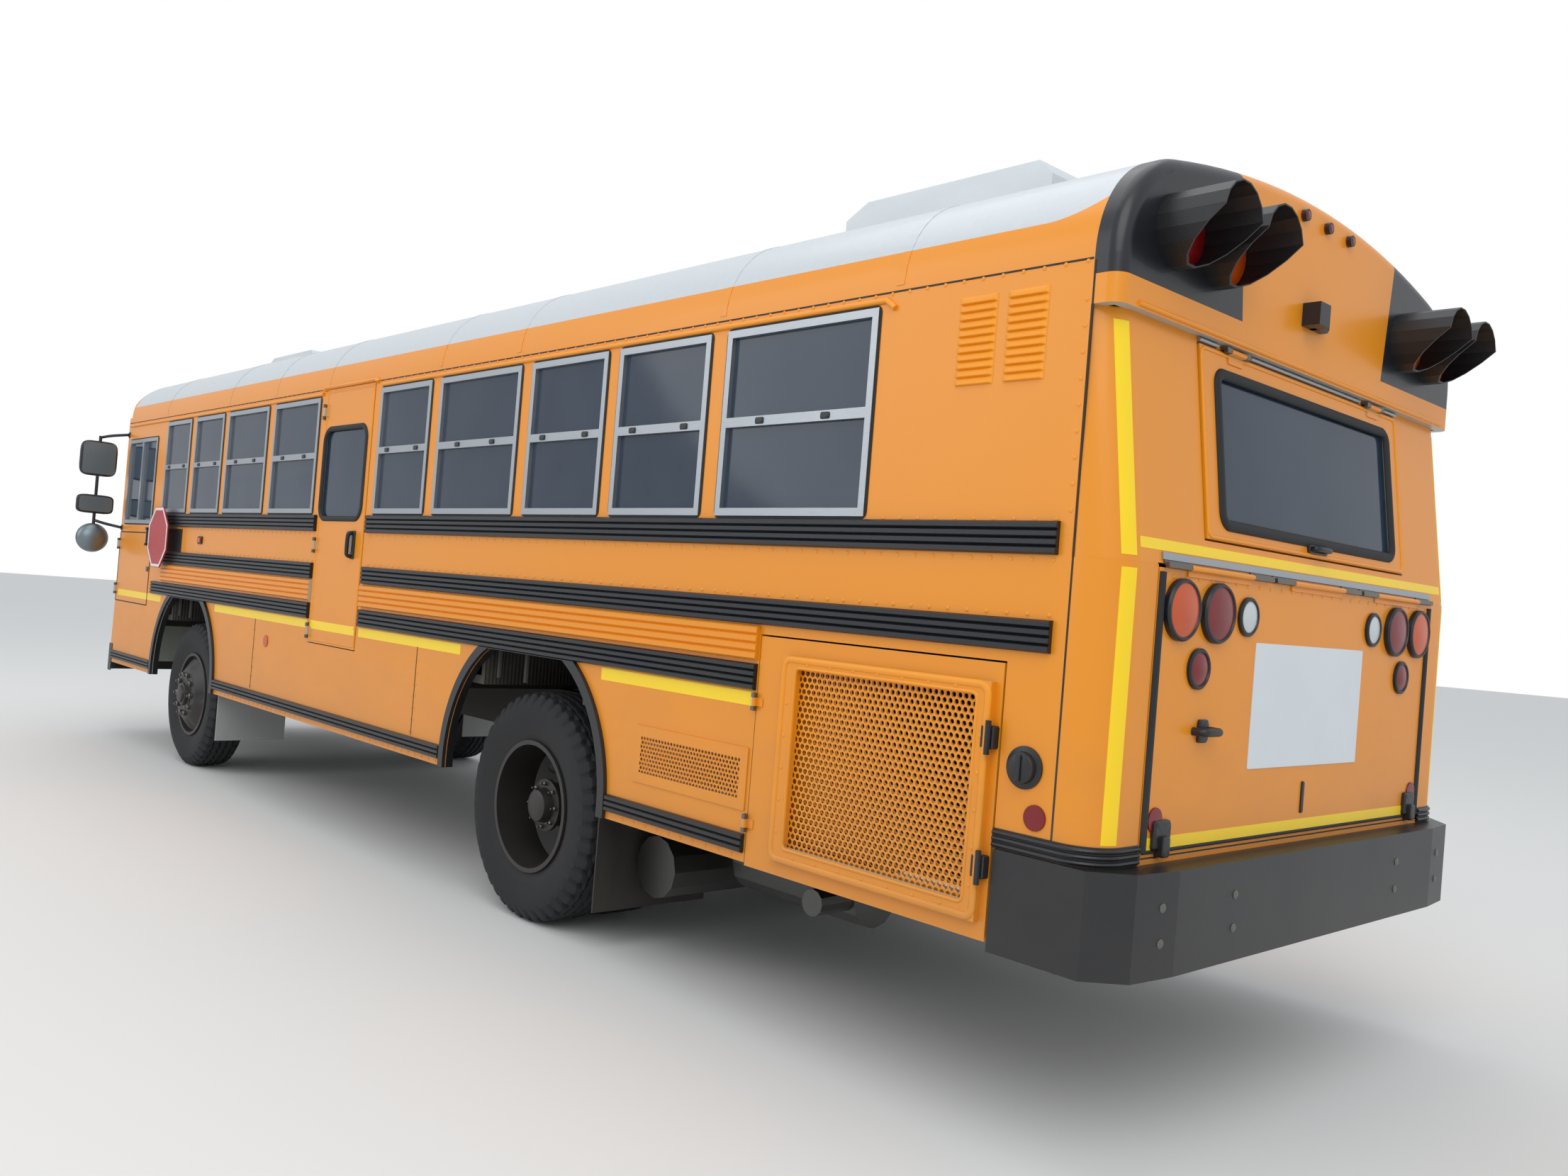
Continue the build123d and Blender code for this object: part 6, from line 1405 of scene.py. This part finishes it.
class BUS_OT_dress_nose(bpy.types.Operator):
    """Adds headlamps, wipers, windshield gaskets, marker lenses and seams on the nose"""

    bl_idname = "bus.dress_nose"
    bl_label = "Dress the nose"

    def execute(self, context):
        trim = context.scene.bus_trim
        bezels, lenses = round_lamps(NOSE_LAMPS, on_nose, NOSE_LAMP_PROUD, (1, 0, 0), 0.010)
        piece("nose_bezels", bezels, "body", "metal", angle=30)
        for kind, shapes in lenses.items():
            piece(f"nose_lenses_{kind}", shapes, "body", kind, angle=30)
        seals, wipers = [], []
        for sign in (-1, 1):
            mirrored = np.array([sign, 1, 1])
            u0, u1 = sorted(sign * y for y in WINDSHIELD[:2])
            seals.append(gasket((u0, u1, *WINDSHIELD[2:]), 0.06, bead(0.030, 0.010), on_nose, steps=8))
            arm = smooth_path(WIPER_ARM * mirrored, 20)
            blade = np.linspace(*WIPER_BLADE, 24) * mirrored
            foot = spot(on_nose, sign * WIPER_ARM[0, 0], WIPER_ARM[0, 1], 0.0)
            wipers += [bar(laid(arm, on_nose), 0.007, 8), bar(laid(blade, on_nose), 0.008, 8),
                       turned(WIPER_BOSS, foot, (1, 0, 0), 20)]
        piece("windshield_gaskets", seals, "body", "rubber")
        piece("wipers", wipers, "body", "black")
        across = np.linspace(-1.10, 1.10, 41)
        seams = [strip(row(across, NOSE_BEAD_Z), bead(0.014, 0.005), on_nose),
                 strip(row(across, NOSE_SEAM_Z), flat_bar(trim.seam, 0.001), on_nose),
                 gasket(NOSE_HATCH, 0.03, bead(0.010, 0.004), on_nose, steps=6)]
        piece("nose_seams", seams, "body", "seal")
        low, high, slots = SLAT_ROWS
        slats = relief(np.linspace(-SLAT_HALF, SLAT_HALF, 21), np.linspace(low, high, slots * 7 + 1), nose_slat,
                       on_nose)
        piece("nose_slats", slats, "body", "plain_yellow", smooth=False)
        return {"FINISHED"}


# Mirrors
MIRROR_Y = 1.400
MIRROR_S = 9.600
MIRROR_ROOT_S = 9.456
POST_HEIGHTS = (1.560, 1.75, 2.15, 2.443)
ARM_HEIGHTS = ((2.470, 2.430), (1.702, 1.745))           # at the body, at the post
ARM_BEND = (0.45, 0.62, 0.5)
FLAT_MIRRORS = ((2.110, 2.400), (1.800, 1.955))          # low, high
FLAT_HALF = 0.139
GLASS_INSET = 0.016
GLASS_X = -0.0192
GLASS_RINGS = ((0.004, 0.0), (0.004, 1.0), (-0.0002, 1.0), (-0.0012, 0.0))      # out of the glass, share of it
CROSS_VIEW_Z = 1.600
CROSS_VIEW_BACK = ((0.048, 0.0), (0.047, 0.060), (0.040, 0.100), (0.020, 0.1195), (0.0, 0.1195), (0.0, 0.0))


def mirror_glass(x, y, z0, z1):
    """A flat mirror's glass as rings of one rounded outline, from its back to a faintly crowned face."""
    middle = np.array([y, (z0 + z1) / 2])
    half = FLAT_HALF - GLASS_INSET
    outline = rounded(y - half, y + half, z0 + GLASS_INSET, z1 - GLASS_INSET, 0.03)
    outline = np.concatenate([outline, outline[:1]])
    return lattice(np.stack([np.insert(middle + (outline - middle) * share, 0, x + GLASS_X + level, axis=1)
                             for level, share in GLASS_RINGS]))


class BUS_OT_build_mirrors(bpy.types.Operator):
    """Makes the mirrors: tube arms, rounded housings, glasses and domed cross-view mirrors"""

    bl_idname = "bus.build_mirrors"
    bl_label = "Build mirrors"

    def execute(self, context):
        housings, glasses = [], []
        x = at(MIRROR_S)
        bulge = np.linspace(0, math.pi / 2, 12)
        dome = [(0.0, 0.0), (0.0, 0.118)] + [(-0.004 - 0.064 * math.sin(t), 0.119 * math.cos(t)) for t in bulge]
        for sign in (-1, 1):
            y = sign * MIRROR_Y
            housings.append(bar(smooth_path([(x, y, z) for z in POST_HEIGHTS]), 0.0125, 12))
            for root, end in ARM_HEIGHTS:
                base = np.array([at(MIRROR_ROOT_S), sign * (HALF + 0.010), root])
                tip = np.array([x, y, end])
                bend = base + (tip - base) * ARM_BEND
                housings += [bar(smooth_path([base, bend, tip]), 0.0115, 12),
                             plate(around(MIRROR_ROOT_S, root, 0.018, 0.022), 0.008, on_flank(sign), 0.006)]
            for z0, z1 in FLAT_MIRRORS:
                housings.append(pillow((x + 0.010, y, (z0 + z1) / 2), (0.029, FLAT_HALF, (z1 - z0) / 2), 0.4))
                glasses.append(mirror_glass(x, y, z0, z1))
            for shapes, outline in ((housings, CROSS_VIEW_BACK), (glasses, dome)):
                shapes.append(turned(outline, (x, y, CROSS_VIEW_Z), (1, 0, 0), 40))
        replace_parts(piece("mirror_housings", housings, "body", "black", angle=50), "mirrors")
        piece("mirror_glasses", glasses, "body", "mirror", angle=50)
        return {"FINISHED"}


# Seats. A bench is (station, centre Y, half width), and where it differs seat height, back height and depth.
BENCH_Y = 0.6895
BENCH_HALF = 0.487
LEFT_ROWS = (1.610, 2.325, 3.040, 3.755, 5.586, 6.301, 7.016, 7.731)
RIGHT_ROWS = tuple(1.610 + 0.715 * i for i in range(10))
BENCHES = (*((s, BENCH_Y, BENCH_HALF) for s in LEFT_ROWS), *((s, -BENCH_Y, BENCH_HALF) for s in RIGHT_ROWS),
           (8.700, 0.640, 0.238, 0.36, 1.15, 0.255))
LEG_XS = (0.06, 0.30)
LEG_INSET = 0.03


def bench_shapes(station, centre_y, half_width, seat_z=0.33, back_top=1.06, depth=0.235):
    """A bench's cushion and leaning back as soft superellipsoids, and its tube legs."""
    x = at(station)
    middle = (seat_z + back_top) / 2 + 0.035
    cushion = pillow((x + depth - 0.065, centre_y, FLOOR_Z + seat_z + 0.055), (depth, half_width, 0.056), 0.38,
                     (14, 28))
    back = pillow((x - 0.045, centre_y, FLOOR_Z + middle), (0.044, half_width, (back_top - seat_z) / 2 - 0.040),
                  0.38, lean=0.10)
    legs = [bar([(x + dx, centre_y + dy, FLOOR_Z + z) for z in (0.001, 0.16, seat_z + 0.02)], 0.013, 8)
            for dx in LEG_XS for dy in (LEG_INSET - half_width, half_width - LEG_INSET)]
    return [cushion, back], legs


class BUS_OT_build_seats(bpy.types.Operator):
    """Makes the benches and the driver's seat as soft pieces on tube legs"""

    bl_idname = "bus.build_seats"
    bl_label = "Build seats"

    def execute(self, context):
        benches = [bench_shapes(*bench) for bench in BENCHES]
        covers = piece("bench_covers", [shape for soft, _ in benches for shape in soft], "body", "seat", angle=80)
        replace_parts(covers, "seats")
        piece("bench_legs", [leg for _, legs in benches for leg in legs], "body", "under")
        return {"FINISHED"}


# Stage. A lamp is (name, place, width, power).
LAMPS = (("key", (-9.0, 7.0, 9.0), 9.0, 520.0), ("side", (6.0, 12.0, 7.0), 10.0, 380.0),
         ("top", (0.0, 0.0, 12.0), 12.0, 420.0))
LAMP_AIM = (0.0, 0.0, 1.2)
FLOOR_RINGS = (0.0, 6.0, 14.0, 30.0)
STAGE_Z = -0.0005
SKY_TINT = (0.93, 0.96, 1.0, 1.0)


def lay_floor(scene, choice):
    """A wide disc under the bus, its rings growing outward, with a faint mottle."""
    sheet = Sheet("studio_floor")
    mottle = sheet.noise(0.35, 4.0)
    sheet.finish(sheet.mix(mottle * 0.16, choice.floor, shaded(choice.floor, 0.9)), 0.8 + mottle * 0.15)
    turns = np.linspace(0, 2 * math.pi, 97)
    rings = np.array([*FLOOR_RINGS, choice.floor_radius])[:, None]
    mesh = mesh_of("studio_floor", lattice(np.stack([rings * np.cos(turns), rings * np.sin(turns),
                                                     STAGE_Z + 0 * rings * turns], -1)))
    mesh.shade_flat()
    mesh.materials.append(sheet.material)
    floor = bpy.data.objects.new("studio_floor", mesh)
    scene.collection.objects.link(floor)


def light_surround(scene, strength):
    """White to the camera, and a cool soft light on everything else."""
    world = bpy.data.worlds.new("surround")
    scene.world = world
    world.use_nodes = True
    nodes, links = world.node_tree.nodes, world.node_tree.links
    nodes.clear()
    seen = nodes.new("ShaderNodeLightPath")
    fill, white = nodes.new("ShaderNodeBackground"), nodes.new("ShaderNodeBackground")
    fill.inputs["Color"].default_value = SKY_TINT
    fill.inputs["Strength"].default_value = strength
    white.inputs["Color"].default_value = (1.0, 1.0, 1.0, 1.0)
    blend, out = nodes.new("ShaderNodeMixShader"), nodes.new("ShaderNodeOutputWorld")
    for source, target in ((seen.outputs["Is Camera Ray"], blend.inputs[0]), (fill.outputs[0], blend.inputs[1]),
                           (white.outputs[0], blend.inputs[2]), (blend.outputs[0], out.inputs[0])):
        links.new(source, target)


def hang_lamps(scene, share):
    """Wide round lamps that face the bus."""
    for name, place, width, power in LAMPS:
        data = bpy.data.lights.new(name, "AREA")
        data.shape = "DISK"
        data.size = width
        data.energy = power * share
        lamp = bpy.data.objects.new(name, data)
        lamp.location = place
        lamp.rotation_euler = (Vector(LAMP_AIM) - Vector(place)).to_track_quat("-Z", "Y").to_euler()
        scene.collection.objects.link(lamp)


def set_camera(scene):
    """The photograph's view."""
    data = bpy.data.cameras.new("photo_view")
    data.sensor_width = SENSOR_WIDTH
    data.lens = FOCAL_PIXELS * SENSOR_WIDTH / PHOTO_WIDTH
    data.clip_end = CLIP_END
    camera = bpy.data.objects.new("photo_view", data)
    right, down, forward = Vector(CAMERA_RIGHT), Vector(CAMERA_DOWN), Vector(CAMERA_FORWARD)
    turn = Matrix((right, -down, -forward)).transposed()
    camera.matrix_world = Matrix.Translation(Vector(CAMERA_AT)) @ turn.to_4x4()
    scene.collection.objects.link(camera)
    scene.camera = camera


class BUS_OT_set_stage(bpy.types.Operator):
    """Sets the pale floor, the white surround, soft lights and the camera at the photograph's view"""

    bl_idname = "bus.set_stage"
    bl_label = "Set the stage"

    def execute(self, context):
        scene = context.scene
        choice = scene.bus_stage
        lay_floor(scene, choice)
        light_surround(scene, choice.sky)
        hang_lamps(scene, choice.sun)
        set_camera(scene)
        scene.view_settings.view_transform = "Standard"
        return {"FINISHED"}


OPERATORS = (BUS_OT_finish_frame, BUS_OT_build_wheels, BUS_OT_dress_sides, BUS_OT_dress_doors, BUS_OT_dress_tail,
             BUS_OT_dress_roof, BUS_OT_dress_nose, BUS_OT_build_mirrors, BUS_OT_build_seats, BUS_OT_set_stage)
GROUPS = (("bus_colours", BusColours), ("bus_wheels", BusWheels), ("bus_trim", BusTrim), ("bus_stage", BusStage))


class BUS_PT_panel(bpy.types.Panel):
    """Buttons for each group of pieces, over the values that they use"""

    bl_idname = "BUS_PT_panel"
    bl_label = "School bus"
    bl_space_type = "VIEW_3D"
    bl_region_type = "UI"
    bl_category = "School bus"

    def draw(self, context):
        for operator in OPERATORS:
            self.layout.operator(operator.bl_idname)
        for name, group in GROUPS:
            box = self.layout.box()
            for key in group.__annotations__:
                box.prop(getattr(context.scene, name), key)


def register():
    for name, group in GROUPS:
        bpy.utils.register_class(group)
        setattr(bpy.types.Scene, name, bpy.props.PointerProperty(type=group))
    for operator in OPERATORS:
        bpy.utils.register_class(operator)
    bpy.utils.register_class(BUS_PT_panel)


def unregister():
    bpy.utils.unregister_class(BUS_PT_panel)
    for operator in reversed(OPERATORS):
        bpy.utils.unregister_class(operator)
    for name, group in reversed(GROUPS):
        delattr(bpy.types.Scene, name)
        bpy.utils.unregister_class(group)


def main():
    register()
    for operator in OPERATORS:
        group, name = operator.bl_idname.split(".")
        if "FINISHED" not in getattr(getattr(bpy.ops, group), name)():
            raise RuntimeError(f"{operator.bl_idname} did not finish")


if __name__ == "__main__":
    main()
